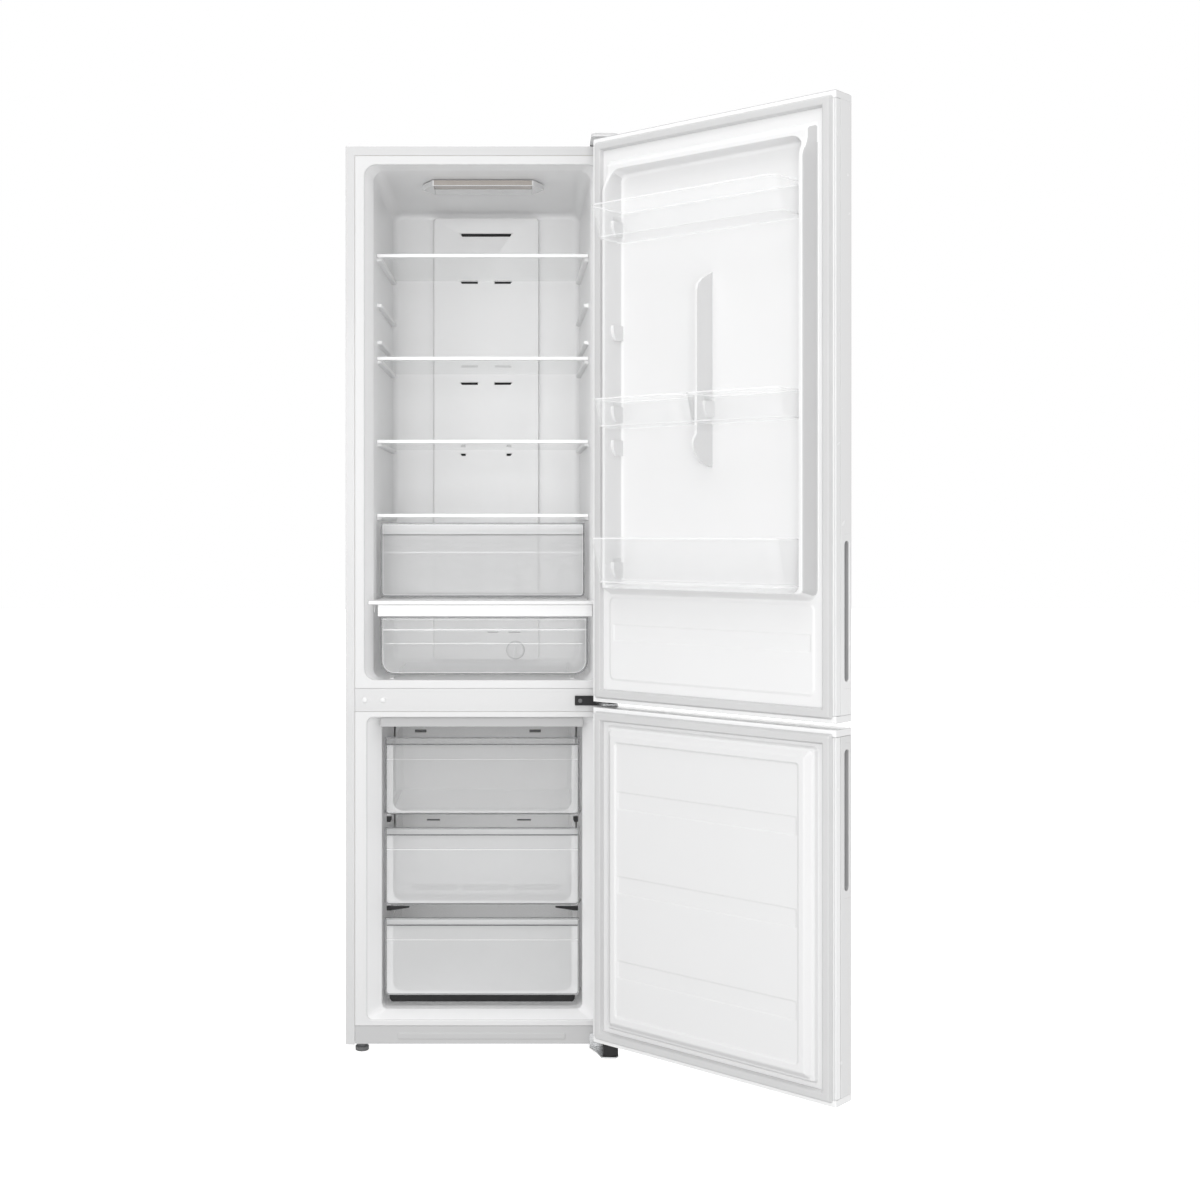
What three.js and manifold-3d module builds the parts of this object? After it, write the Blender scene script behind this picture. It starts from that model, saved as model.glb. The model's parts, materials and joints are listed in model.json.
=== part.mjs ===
// Two-door bottom-freezer refrigerator, free standing, both doors hung on the right and standing open.
// Millimetres, +Z up, front towards -Y, +X to the viewer's right.
import * as THREE from 'three';
import { mergeVertices } from 'three/addons/utils/BufferGeometryUtils.js';
import Module from 'manifold-3d';

const wasm = await Module();
wasm.setup();

// ---------------------------------------------------------------- driving dimensions
// Cabinet coordinates while building: X = 0 on the cabinet's centre line, Y = 0 on the front face
// of the steel case, Z = 0 on the floor.
const HALF_W = 297.5;        // half the cabinet's width
const DEPTH = 565;           // cabinet depth behind its front face
const BODY_Z0 = 20;          // underside of the cabinet
const BODY_Z1 = 1985.5;      // top of the steel case
const SKIN = 1.0;            // sheet thickness
const FLANGE = 20;           // width of the case's front return
const GAP = 0.3;             // gap kept between pieces that touch
const LINER = 2;             // liner wall

const FRIDGE = { x0: -256, x1: 256, z0: 817.5, z1: 1945.7, r: 25 };      // mouth
const FRIDGE_IN = { x0: -240, x1: 240, z0: 815, z1: 1941, r: 25 };       // 40 mm in
const FRIDGE_BACK = { x0: -233, x1: 233, z0: 815, z1: 1934, r: 25 };     // at the rear wall
const FRIDGE_Y1 = 40, FRIDGE_Y2 = 500;
const FREEZER = { x0: -251, x1: 251, z0: 73.9, z1: 736, r: 14 };
const FREEZER_IN = { x0: -222, x1: 222, z0: 85, z1: 731, r: 14 };
const FREEZER_Y1 = 45, FREEZER_Y2 = 465, HUMP_Y = 372, HUMP_Z = 252;
const BAR_Z0 = 748.7, BAR_Z1 = 799.5;    // crossbar between the two compartments

const DOOR_GAP = 10, DOOR_T = 60;         // gasket gap and door thickness
const DOOR_Y1 = -DOOR_GAP, DOOR_Y0 = DOOR_Y1 - DOOR_T;
const HINGE = { x: 283, y: -58 };         // both doors turn about this vertical line
const OPEN_DEG = 137.9;                   // opening angle at rest
const UPPER = { z0: 780.2, z1: 1980 };
const LOWER = { z0: 53.5, z1: 768.5 };
const GRIP = { upper: [858, 1126], lower: [458.5, 727.8] };

const SHELF_TOPS = [1767.6, 1536.4, 1349.2, 1182.6];
const SPARE_RAILS = [1664, 1580];        // shelf heights that no shelf uses

// Row frame: the origin is the bottom centre of the box round the part with both doors open.
const ORIGIN = { x: 210.9, y: 31.8 };

// ---------------------------------------------------------------- small tools
function solid(geo) {
  const g = geo.index ? geo.clone() : geo.clone();
  for (const k of Object.keys(g.attributes)) if (k !== 'position') g.deleteAttribute(k);
  const m = mergeVertices(g, 1e-4);
  return new wasm.Manifold(new wasm.Mesh({
    numProp: 3,
    vertProperties: new Float32Array(m.attributes.position.array),
    triVerts: new Uint32Array(m.index.array),
  }));
}
function box(x0, x1, y0, y1, z0, z1) {
  return solid(new THREE.BoxGeometry(x1 - x0, y1 - y0, z1 - z0)
    .translate((x0 + x1) / 2, (y0 + y1) / 2, (z0 + z1) / 2));
}
// rounded rectangle, r a number or [lower left, lower right, upper right, upper left]
function rrect(x0, x1, y0, y1, r = 0) {
  const [a, b, c, d] = Array.isArray(r) ? r : [r, r, r, r];
  const s = new THREE.Shape();
  s.moveTo(x0 + a, y0);
  s.lineTo(x1 - b, y0);
  if (b) s.absarc(x1 - b, y0 + b, b, -Math.PI / 2, 0, false);
  s.lineTo(x1, y1 - c);
  if (c) s.absarc(x1 - c, y1 - c, c, 0, Math.PI / 2, false);
  s.lineTo(x0 + d, y1);
  if (d) s.absarc(x0 + d, y1 - d, d, Math.PI / 2, Math.PI, false);
  s.lineTo(x0, y0 + a);
  if (a) s.absarc(x0 + a, y0 + a, a, Math.PI, Math.PI * 1.5, false);
  return s;
}
function poly(pts) {
  const s = new THREE.Shape();
  pts.forEach(([x, y], i) => (i ? s.lineTo(x, y) : s.moveTo(x, y)));
  s.closePath();
  return s;
}
const extrude = (shape, depth, seg = 4) =>
  new THREE.ExtrudeGeometry(shape, { depth, bevelEnabled: false, curveSegments: seg, steps: 1 });
// outline in X,Y raised along Z
const alongZ = (shape, z0, z1, seg) => solid(extrude(shape, z1 - z0, seg).translate(0, 0, z0));
// outline in X,Z carried along Y
const alongY = (shape, y0, y1, seg) =>
  solid(extrude(shape, y1 - y0, seg).rotateX(Math.PI / 2).translate(0, y1, 0));
// outline in Y,Z carried along X
function alongX(shape, x0, x1, seg) {
  const g = extrude(shape, x1 - x0, seg);
  g.applyMatrix4(new THREE.Matrix4().set(0, 0, 1, x0, 1, 0, 0, 0, 0, 1, 0, 0, 0, 0, 0, 1));
  return solid(g);
}
// rounded box whose front outline a (at y0) changes evenly to b (at y1)
function loftY(a, y0, b, y1, seg = 4) {
  const g = extrude(rrect(a.x0, a.x1, a.z0, a.z1, a.r || 0), y1 - y0, seg)
    .rotateX(Math.PI / 2).translate(0, y1, 0);
  const p = g.attributes.position;
  const cx = (a.x0 + a.x1) / 2, cz = (a.z0 + a.z1) / 2;
  for (let i = 0; i < p.count; i++) {
    if (Math.abs(p.getY(i) - y1) > 1e-3) continue;
    p.setX(i, p.getX(i) + (p.getX(i) > cx ? b.x1 - a.x1 : b.x0 - a.x0));
    p.setZ(i, p.getZ(i) + (p.getZ(i) > cz ? b.z1 - a.z1 : b.z0 - a.z0));
  }
  return solid(g);
}
const grow = (o, d) => ({ x0: o.x0 - d, x1: o.x1 + d, z0: o.z0 - d, z1: o.z1 + d, r: (o.r || 0) + d });
// cylinder along an axis between two stations
function rod(axis, u, v, r, a0, a1, seg = 16) {
  const g = new THREE.CylinderGeometry(r, r, a1 - a0, seg);
  if (axis === 'z') g.rotateX(Math.PI / 2).translate(u, v, (a0 + a1) / 2);
  if (axis === 'y') g.translate(u, (a0 + a1) / 2, v);
  if (axis === 'x') g.rotateZ(Math.PI / 2).translate((a0 + a1) / 2, u, v);
  return solid(g);
}
// turned piece: profile [[radius, height], ...] about Z, closed on the axis
function turned(profile, x, y, seg = 20) {
  return solid(new THREE.LatheGeometry(profile.map(([r, h]) => new THREE.Vector2(r, h)), seg)
    .rotateX(Math.PI / 2).translate(x, y, 0));
}
const add = (...s) => s.reduce((a, b) => a.add(b));
const cut = (a, ...s) => s.reduce((x, y) => x.subtract(y), a);

const root = new THREE.Group();
const cabinet = new THREE.Group();
cabinet.position.set(-ORIGIN.x, -ORIGIN.y, 0);
root.add(cabinet);
const doorGroup = (name) => {
  const g = new THREE.Group();
  g.name = name;
  g.position.set(HINGE.x, HINGE.y, 0);
  g.rotation.z = THREE.MathUtils.degToRad(OPEN_DEG);
  cabinet.add(g);
  return g;
};
const upperDoor = doorGroup('upper_door_hinged');
const lowerDoor = doorGroup('lower_door_hinged');

const WHITE_STEEL = { color: 0xe9e9e8, roughness: 0.32, metalness: 0.0 };
const WHITE_ABS = { color: 0xf1f1f0, roughness: 0.4, metalness: 0.0 };
const CLEAR = { color: 0xe8eef0, roughness: 0.12, metalness: 0.0, transparent: true, opacity: 0.35 };
const STEEL = { color: 0xb9bbbd, roughness: 0.35, metalness: 1.0 };
const BLACK = { color: 0x1b1b1c, roughness: 0.5, metalness: 0.0 };
const SEAL = { color: 0xdcdcdb, roughness: 0.7, metalness: 0.0 };
const FOAM = { color: 0xe6d9a8, roughness: 0.95, metalness: 0.0 };

function piece(name, man, look, group = cabinet) {
  const mesh = man.getMesh();
  const g = new THREE.BufferGeometry();
  const verts = new Float32Array(mesh.vertProperties);
  if (group !== cabinet) {
    for (let i = 0; i < verts.length; i += 3) { verts[i] -= HINGE.x; verts[i + 1] -= HINGE.y; }
  }
  g.setAttribute('position', new THREE.BufferAttribute(verts, 3));
  g.setIndex(new THREE.BufferAttribute(new Uint32Array(mesh.triVerts), 1));
  g.computeVertexNormals();
  const m = new THREE.Mesh(g, new THREE.MeshStandardMaterial(look));
  m.name = name;
  group.add(m);
  return m;
}

// ================================================================ cabinet
// Steel case: two sides and a top bent from one sheet, with a return round the front.
{
  let c = box(-HALF_W, HALF_W, 0, DEPTH - 1.3, BODY_Z0 + 42, BODY_Z1);
  c = add(c, box(-HALF_W, -HALF_W + SKIN, 0, DEPTH - 1.3, BODY_Z0, BODY_Z0 + 60),
    box(HALF_W - SKIN, HALF_W, 0, DEPTH - 1.3, BODY_Z0, BODY_Z0 + 60));
  for (const x of [-HALF_W, HALF_W - FLANGE]) c = add(c, box(x, x + FLANGE, 0, SKIN, BODY_Z0, BODY_Z0 + 60));
  c = cut(c, box(-HALF_W + SKIN, HALF_W - SKIN, SKIN, DEPTH + 20, -10, BODY_Z1 - SKIN),
    box(-HALF_W + FLANGE, HALF_W - FLANGE, -5, 5, -10, BODY_Z1 - FLANGE));
  piece('outer_case', c, WHITE_STEEL);
}
// Rear panel with two pressed stiffening ribs.
{
  let c = box(-HALF_W, HALF_W, DEPTH - 1, DEPTH, 236, BODY_Z1);
  c = add(c, box(-200, -170, DEPTH - 3, DEPTH - 0.5, 300, 1900), box(170, 200, DEPTH - 3, DEPTH - 0.5, 300, 1900));
  c = cut(c, box(-194, -176, DEPTH - 2, DEPTH + 1, 306, 1894), box(176, 194, DEPTH - 2, DEPTH + 1, 306, 1894));
  piece('rear_panel', c, WHITE_STEEL);
}
const fridgeOuter = add(
  loftY(grow(FRIDGE, LINER), 1.9, grow(FRIDGE_IN, LINER), FRIDGE_Y1 + LINER, 3),
  loftY(grow(FRIDGE_IN, LINER), FRIDGE_Y1, grow(FRIDGE_BACK, LINER), FRIDGE_Y2 + LINER, 3));
const fridgeCavity = add(
  loftY(FRIDGE, -1, FRIDGE_IN, FRIDGE_Y1, 3),
  loftY(FRIDGE_IN, FRIDGE_Y1 - 0.5, FRIDGE_BACK, FRIDGE_Y2, 3));
// Upper liner: front flange, tapered box, and the rails that carry the shelves.
{
  const fl = alongY(rrect(-HALF_W + FLANGE + GAP, HALF_W - FLANGE - GAP, BAR_Z1 + GAP, BODY_Z1 - FLANGE - GAP, 0), 0.2, 2.2);
  let c = cut(add(fl, fridgeOuter), fridgeCavity);
  for (const z of [...SHELF_TOPS, ...SPARE_RAILS]) {
    for (const s of [-1, 1]) {
      // a lower rail under the glass and a short stop above it
      const railZ = z - 6.1;
      const a = s < 0 ? { x0: -240.5, x1: -227, z0: railZ - 9, z1: railZ, r: 0 } : { x0: 227, x1: 240.5, z0: railZ - 9, z1: railZ, r: 0 };
      const b = s < 0 ? { x0: -234.2, x1: -222, z0: railZ - 9, z1: railZ, r: 0 } : { x0: 222, x1: 234.2, z0: railZ - 9, z1: railZ, r: 0 };
      c = add(c, loftY(a, 118, b, 470));
    }
  }
  // runners under the lower crisper drawer
  c = add(c, box(-206, -196, 46, 430, 814.5, 821.6), box(196, 206, 46, 430, 814.5, 821.6));
  // ledges that carry the wide shelf over the lower crisper
  c = add(c,
    loftY({ x0: -241, x1: -233.6, z0: 962, z1: 979.7 }, 46, { x0: -234.6, x1: -228, z0: 962, z1: 979.7 }, 470),
    loftY({ x0: 236, x1: 241, z0: 962, z1: 979.7 }, 46, { x0: 228, x1: 234.6, z0: 962, z1: 979.7 }, 470));
  piece('fridge_liner', c, WHITE_ABS);
}
const lowFreezerOuter = add(
  loftY(grow(FREEZER, LINER), 1.9, grow(FREEZER_IN, LINER), FREEZER_Y1 + LINER, 2),
  alongY(rrect(-224, 224, 83, 733, 16), FREEZER_Y1, HUMP_Y + LINER, 2),
  alongY(rrect(-224, 224, HUMP_Z - LINER, 733, 16), FREEZER_Y1, FREEZER_Y2 + LINER, 2));
const lowFreezerCavity = add(
  loftY(FREEZER, -1, FREEZER_IN, FREEZER_Y1, 2),
  alongY(rrect(-222, 222, 85, 731, 14), FREEZER_Y1 - 0.5, HUMP_Y, 2),
  alongY(rrect(-222, 222, HUMP_Z, 731, 14), FREEZER_Y1 - 0.5, FREEZER_Y2, 2));
// Freezer liner with the hump over the compressor, and a runner each side for each drawer.
{
  const fl = alongY(rrect(-HALF_W + FLANGE + GAP, HALF_W - FLANGE - GAP, 61.3, BAR_Z0 - GAP, 0), 0.2, 2.2);
  let c = cut(add(fl, lowFreezerOuter), lowFreezerCavity);
  for (const [z, y1] of [[512.4, 400], [311.7, 400], [110.4, 366]]) {
    c = add(c, box(-222.5, -205, 76, y1, z - 6, z), box(205, 222.5, 76, y1, z - 6, z));
  }
  // front top band of the freezer compartment
  c = add(c, box(-223, 223, 18, 24, 713.5, 734));
  piece('freezer_liner', c, WHITE_ABS);
}
// Foam that fills the walls, poured round both liners, with the compressor's room left free.
{
  let c = box(-HALF_W + SKIN + GAP, HALF_W - SKIN - GAP, 3.2, DEPTH - 3.6, 29, BODY_Z1 - SKIN - GAP);
  c = cut(c,
    loftY(grow(FRIDGE, LINER + GAP), 1.9, grow(FRIDGE_IN, LINER + GAP), FRIDGE_Y1 + LINER, 3),
    loftY(grow(FRIDGE_IN, LINER + GAP), FRIDGE_Y1, grow(FRIDGE_BACK, LINER + GAP), FRIDGE_Y2 + LINER + GAP, 3),
    loftY(grow(FREEZER, LINER + GAP), 1.9, grow(FREEZER_IN, LINER + GAP), FREEZER_Y1 + LINER, 2),
    alongY(rrect(-224.3, 224.3, 82.7, 733.3, 16), FREEZER_Y1, HUMP_Y + LINER + GAP, 2),
    alongY(rrect(-224.3, 224.3, HUMP_Z - LINER - GAP, 733.3, 16), FREEZER_Y1, FREEZER_Y2 + LINER + GAP, 2),
    box(-400, 400, 392, 700, -10, 236),
    // behind the crossbar, the plinth and the feet
    box(-400, 400, -5, 19, BAR_Z0 - 1, BAR_Z1 + 1), box(-400, 400, -5, 44, -10, 61.6),
    box(-291, -236, -5, 62, -10, 61.6), box(236, 291, -5, 62, -10, 61.6));
  piece('cabinet_insulation', c, FOAM);
}
// Crossbar: a steel channel across the front between the compartments.
{
  let c = box(-HALF_W + SKIN + GAP + 19, HALF_W - FLANGE - GAP, 0.2, 18, BAR_Z0, BAR_Z1);
  c = cut(c, box(-400, 400, 1.4, 30, BAR_Z0 + 1.2, BAR_Z1 - 1.2));
  for (const x of [-255.6, -215.3]) c = cut(c, rod('y', x, 774.2, 3.3, -5, 5, 12));
  piece('middle_crossbar', c, WHITE_STEEL);
}
// Plinth closing the front under the freezer, with a raised bar on it.
{
  let c = box(-HALF_W + SKIN + GAP + 19, HALF_W - FLANGE - GAP, 0.2, 2.6, 22, 60.8);
  c = add(c, box(-HALF_W + 21, HALF_W - 21, 1, 40, 57.8, 60.8), alongY(rrect(-182, 182, 33.3, 44.6, 3), -1.2, 1, 3));
  piece('plinth', c, WHITE_ABS);
}
// Base plate: floor of the cabinet and of the compressor's room, with lugs for the rear rollers.
{
  let c = box(-HALF_W + SKIN + GAP, HALF_W - SKIN - GAP, 46, DEPTH - 2, 25.8, 28.6);
  c = add(c, box(-290, -238, 6, 60, 25.8, 28.6), box(238, 290, 6, 60, 25.8, 28.6));
  for (const x of [-262, 262]) {
    c = add(c, box(x - 16, x - 13, 505, 545, 10, 27), box(x + 13, x + 16, 505, 545, 10, 27));
    c = cut(c, box(x - 12.7, x + 12.7, 508, 542, 20, 40));
    c = cut(c, rod('x', 525, 15, 4.06, x - 20, x + 20, 24));
  }
  for (const x of [-264, 264]) c = cut(c, rod('z', x, 30, 6.4, 20, 40, 20));
  piece('base_plate', c, STEEL);
}
// Levelling feet: disc with a collar and a threaded shank.
for (const [n, x] of [['left', -264], ['right', 264]]) {
  piece(`levelling_foot_${n}`, turned([[0, 0], [14, 0], [15, 1.5], [15, 9], [11, 12], [11, 25.4], [6.0, 25.4], [6.0, 44], [5, 45], [0, 45]], x, 30, 20), { color: 0xa9abad, roughness: 0.45, metalness: 0.2 });
}
// Rear rollers with stub axles.
for (const [n, x] of [['left', -262], ['right', 262]]) {
  piece(`rear_roller_${n}`, add(rod('x', 525, 15, 15, x - 11, x + 11, 24), rod('x', 525, 15, 4.0, x - 18, x + 18, 24)), { color: 0x3a3b3d, roughness: 0.6, metalness: 0 });
}
// Compressor: a welded steel pot on a foot plate.
{
  const pot = solid(new THREE.LatheGeometry([[0, 0], [52, 0], [68, 8], [78, 30], [80, 58], [80, 84], [76, 112], [58, 132], [30, 140], [0, 142]].map(([r, h]) => new THREE.Vector2(r, h)), 18)
    .rotateX(Math.PI / 2).translate(0, 0, 0).scale(1.12, 0.9, 1).translate(120, 478, 42));
  let c = add(pot, box(20, 220, 438, 518, 38, 43));
  for (const [x, y] of [[32, 448], [208, 448], [32, 508], [208, 508]]) c = add(c, rod('z', x, y, 9, 28.9, 39, 12));
  c = add(c, box(200, 232, 458, 498, 70, 118));
  piece('compressor', c, BLACK);
}
// Cover of the compressor's room, with rows of air slots.
{
  let c = box(-HALF_W + 6, HALF_W - 6, DEPTH - 1.6, DEPTH - 0.4, 31, 233);
  for (let r = 0; r < 4; r++) {
    for (let k = 0; k < 4; k++) {
      const x = -240 + k * 124;
      c = cut(c, box(x, x + 96, DEPTH - 5, DEPTH + 5, 62 + r * 34, 72 + r * 34));
    }
  }
  c = cut(c, rod('y', 250, 210, 12, DEPTH - 5, DEPTH + 5, 16));
  piece('compressor_cover', c, { color: 0x55585a, roughness: 0.6, metalness: 0.2 });
}
// Gland in the cover where the mains lead enters.
piece('mains_inlet', cut(add(rod('y', 250, 210, 11.6, DEPTH - 6, DEPTH, 20), rod('y', 250, 210, 15, DEPTH - 0.1, DEPTH + 3, 20)), rod('y', 250, 210, 4, DEPTH - 20, DEPTH + 20, 12)), BLACK);
// Evaporator: block of upright fins between two end plates, with its suction pipe.
{
  const pts = [[-152, 412]];
  for (let k = 0; k < 9; k++) { const x = -136 + k * 32; pts.push([x, 412], [x, 448], [x + 16, 448], [x + 16, 412]); }
  pts.push([152, 412], [152, 458], [-152, 458]);
  let c = alongZ(poly(pts), 300, 512);
  c = add(c, rod('x', 440, 500, 5, -176, 176, 8), rod('z', 172, 440, 5, 280, 504, 8));
  piece('evaporator', c, { color: 0xc3c6c8, roughness: 0.35, metalness: 1 });
}
// Rear wall of the freezer, in front of the evaporator and the fan, with air slots.
{
  let c = alongY(rrect(-219.5, 219.5, 254.5, 728, 16), 404, 407, 2);
  c = cut(c, box(-172, -144, 400, 412, 652, 659), box(107, 135, 400, 412, 652, 659));
  c = cut(c, box(-143, -111, 400, 412, 437, 441), box(77, 111, 400, 412, 437, 441));
  for (const x of [-180, -55, 70]) c = cut(c, box(x, x + 110, 400, 412, 268, 282));
  piece('freezer_rear_wall', c, WHITE_ABS);
}
piece('fan_motor', add(rod('y', 0, 605, 24, 440, 464.4, 20), rod('y', 0, 605, 2.95, 425, 441, 20), box(-46, 46, 452, 458, 600, 610)), BLACK);
// Fan: hub with five pitched blades, turning in front of its motor.
{
  let c = rod('y', 0, 605, 14, 414, 430, 20);
  for (let i = 0; i < 5; i++) {
    const g = new THREE.BoxGeometry(34, 1.6, 22).rotateX(0.0).translate(28, 0, 0);
    g.translate(0, 0, 0).applyMatrix4(new THREE.Matrix4().makeRotationX(0.55));
    g.applyMatrix4(new THREE.Matrix4().makeRotationY(-i * Math.PI * 2 / 5)).translate(0, 421.5, 605);
    c = add(c, solid(g));
  }
  // cut back the hub bore after the blades are on
  c = cut(c, rod('y', 0, 605, 3.04, 424, 440, 20));
  piece('fan', c, { color: 0xd8d8d6, roughness: 0.5, metalness: 0 });
}
// Air duct up the back of the upper compartment, with its outlets.
{
  let c = loftY({ x0: -123, x1: 123, z0: 824, z1: 1913, r: 8 }, 480, { x0: -132, x1: 132, z0: 824, z1: 1922, r: 8 }, 499.6, 3);
  c = cut(c, box(-118, 118, 484, 510, 800, 1905));
  c = cut(c, alongY(rrect(-67, 67, 1874, 1883, 2), 470, 490, 2));
  for (const z of [1760, 1509, 1332]) c = cut(c, box(-64, -20, 470, 490, z - 3, z + 3.5), box(20, 64, 470, 490, z - 3, z + 3.5));
  c = cut(c, box(2, 31, 470, 490, 889, 893), box(54, 86, 470, 490, 889, 893));
  piece('air_duct', c, WHITE_ABS);
}
// Ceiling lamp: white housing with pointed ends, and its lens.
{
  let c = alongZ(poly([[-139, 172], [-114, 122], [114, 122], [139, 172], [114, 222], [-114, 222]]), 1925, 1937.9);
  c = cut(c, box(-111.4, 111.4, 126, 218, 1920, 1932));
  piece('lamp_housing', c, WHITE_ABS);
  piece('lamp_lens', alongZ(rrect(-111, 111, 126.4, 217.6, 3), 1926.5, 1931.6, 2), { color: 0xd9d2c8, roughness: 0.3, metalness: 0, transparent: true, opacity: 0.85 });
}
// Chill dial low on the duct, turning on its spindle.
{
  let c = rod('y', 73, 847, 19.6, 467, 477, 24);
  c = add(c, box(70.5, 75.5, 461, 468, 830, 864), rod('y', 73, 847, 5, 475, 479.7, 12));
  piece('chill_dial', c, WHITE_ABS);
}
// Glass shelves with a snapped-on front trim.
SHELF_TOPS.forEach((z, i) => {
  const n = i + 1;
  piece(`glass_shelf_${n}`, alongZ(rrect(-231.4, 231.4, 104.6, 470, [0, 0, 6, 6]), z - 5.8, z - 1.8, 2), { ...CLEAR, color: 0xdfeae6 });
  let t = alongX(poly([[102, z - 7.6], [118, z - 7.6], [118, z - 6.1], [104.2, z - 6.1], [104.2, z - 1.5], [118, z - 1.5], [118, z], [103, z], [102, z - 1]]), -238, 238);
  t = cut(t, box(-300, -226.6, 116.9, 130, z - 20, z - 6), box(226.6, 300, 116.9, 130, z - 20, z - 6));
  piece(`shelf_trim_${n}`, t, WHITE_ABS);
});
// Wide shelf that roofs the lower crisper drawer, with its white front skirt.
{
  let c = add(loftY({ x0: -249, x1: 249, z0: 982, z1: 991, r: 2 }, 9, { x0: -237, x1: 237, z0: 982, z1: 991, r: 2 }, 42, 2),
    loftY({ x0: -237, x1: 237, z0: 982, z1: 991, r: 2 }, 41, { x0: -231, x1: 231, z0: 982, z1: 991, r: 2 }, 474, 2));
  c = add(c, box(-229, 243, 20, 23.4, 956, 984));
  piece('crisper_shelf', c, WHITE_ABS);
}
// ---------------------------------------------------------------- drawers
// Open tub: outer outline in X,Z rounded at the bottom, hollowed from above.
function tub({ x0, x1, y0, y1, z0, z1, r = 8, w = 2, taper = 6 }) {
  const b = { x0: x0 + taper, x1: x1 - taper, z0: z0, z1: z1 };
  const outer = (d) => {
    const g = extrude(rrect(x0 + d, x1 - d, z0 + d, z1 + (d ? 10 : 0), [r, r, 0, 0]), (y1 - d) - (y0 + d), 3)
      .rotateX(Math.PI / 2).translate(0, y1 - d, 0);
    const p = g.attributes.position, cx = (x0 + x1) / 2;
    for (let i = 0; i < p.count; i++) {
      const t = (z1 - p.getZ(i)) / (z1 - z0);       // sides lean in towards the floor
      const s = p.getX(i) > cx ? -1 : 1;
      p.setX(i, p.getX(i) + s * taper * Math.max(0, t));
      if (p.getY(i) > (y0 + y1) / 2) p.setY(i, p.getY(i) - taper * Math.max(0, t));
    }
    return solid(g);
  };
  return cut(outer(0), outer(w));
}
// Upper crisper: clear tub with a taller front whose lip curls forward.
{
  let c = tub({ x0: -227, x1: 227, y0: 106, y1: 440, z0: 992.2, z1: 1150, r: 14, w: 2.2, taper: 5 });
  c = add(c, alongY(rrect(-229, 229, 995.5, 1162, [10, 10, 3, 3]), 103, 106.5, 3));
  c = add(c, alongX(poly([[100, 1134], [103.4, 1131], [103.4, 1137], [101, 1138]]), -222, 222));
  piece('upper_crisper_drawer', c, CLEAR);
}
{
  let c = tub({ x0: -220, x1: 231, y0: 28, y1: 428, z0: 822, z1: 946, r: 30, w: 2.2, taper: 5 });
  c = add(c, alongY(rrect(-222.4, 233.4, 827.8, 954, [30, 30, 3, 3]), 25.4, 28.5, 5));
  c = add(c, alongX(poly([[21, 925], [25.8, 921], [25.8, 928], [22, 929.5]]), -214, 225));
  piece('lower_crisper_drawer', c, CLEAR);
}
// Freezer drawers: clear tub, clear front with a deep lip and a grip rail below the rim.
[['top', 512.7, 684.7, 398], ['middle', 312, 483.5, 398], ['bottom', 110.7, 282.7, 362]].forEach(([n, z0, z1, y1]) => {
  let c = tub({ x0: -203.5, x1: 203.5, y0: 68, y1: y1, z0: z0 + 0.6, z1: z1 - 14, r: 16, w: 2.2, taper: 4 });
  // side wings that ride on the liner's runners
  c = add(c, box(-214, -200.5, 68, y1 - 8, z0, z0 + 2.4), box(200.5, 214, 68, y1 - 8, z0, z0 + 2.4));
  c = add(c, box(-206, -199.6, 68, y1 - 8, z0, z0 + 26), box(199.6, 206, 68, y1 - 8, z0, z0 + 26));
  c = cut(c, box(-201.8, 201.8, 66, 70.5, z0 + 14, z1 - 16), box(-199, 199, 70, y1 - 12, z0 + 2.9, z0 + 40));
  // front panel with rounded lower corners
  c = add(c, alongY(rrect(-216, 216, z0, z1, [9, 9, 3, 3]), 62, 65, 3), box(-205, 205, 64.5, 68.6, z0 + 2, z0 + 14));
  c = add(c, box(-205, -201.3, 64.5, 70, z0 + 2, z1 - 15), box(201.3, 205, 64.5, 70, z0 + 2, z1 - 15));
  c = add(c, box(-212, 212, 56, 62.5, z1 - 16.5, z1 - 13.5));
  piece(`freezer_drawer_${n}`, c, CLEAR);
});

// ---------------------------------------------------------------- hinges on the cabinet
{
  // top: plate screwed to the roof, arm forward to the pin that drops into the upper door
  let c = alongZ(poly([[239, 12], [239, 90], [290, 90], [290, -64], [283, -70], [268, -70], [262, -60], [262, 12]]), BODY_Z1 + 0.3, BODY_Z1 + 3.3);
  c = add(c, rod('z', HINGE.x, HINGE.y, 5, UPPER.z1 - 12, BODY_Z1 + 1, 20), box(240, 288, 20, 82, BODY_Z1 + 2, BODY_Z1 + 4.4));
  piece('top_hinge', c, STEEL);
  let k = alongX(poly([[-74, BODY_Z1 + 0.3], [-74, 1994], [-64, 2002], [88, 2003], [100, 1998], [100, BODY_Z1 + 0.3]]), 236, 296.5);
  k = cut(k, alongX(poly([[-72, 1980], [-72, 1993], [-63, 2000], [87, 2001], [98, 1997], [98, 1980]]), 238, 294.5));
  piece('top_hinge_cover', k, WHITE_STEEL);
}
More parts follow.
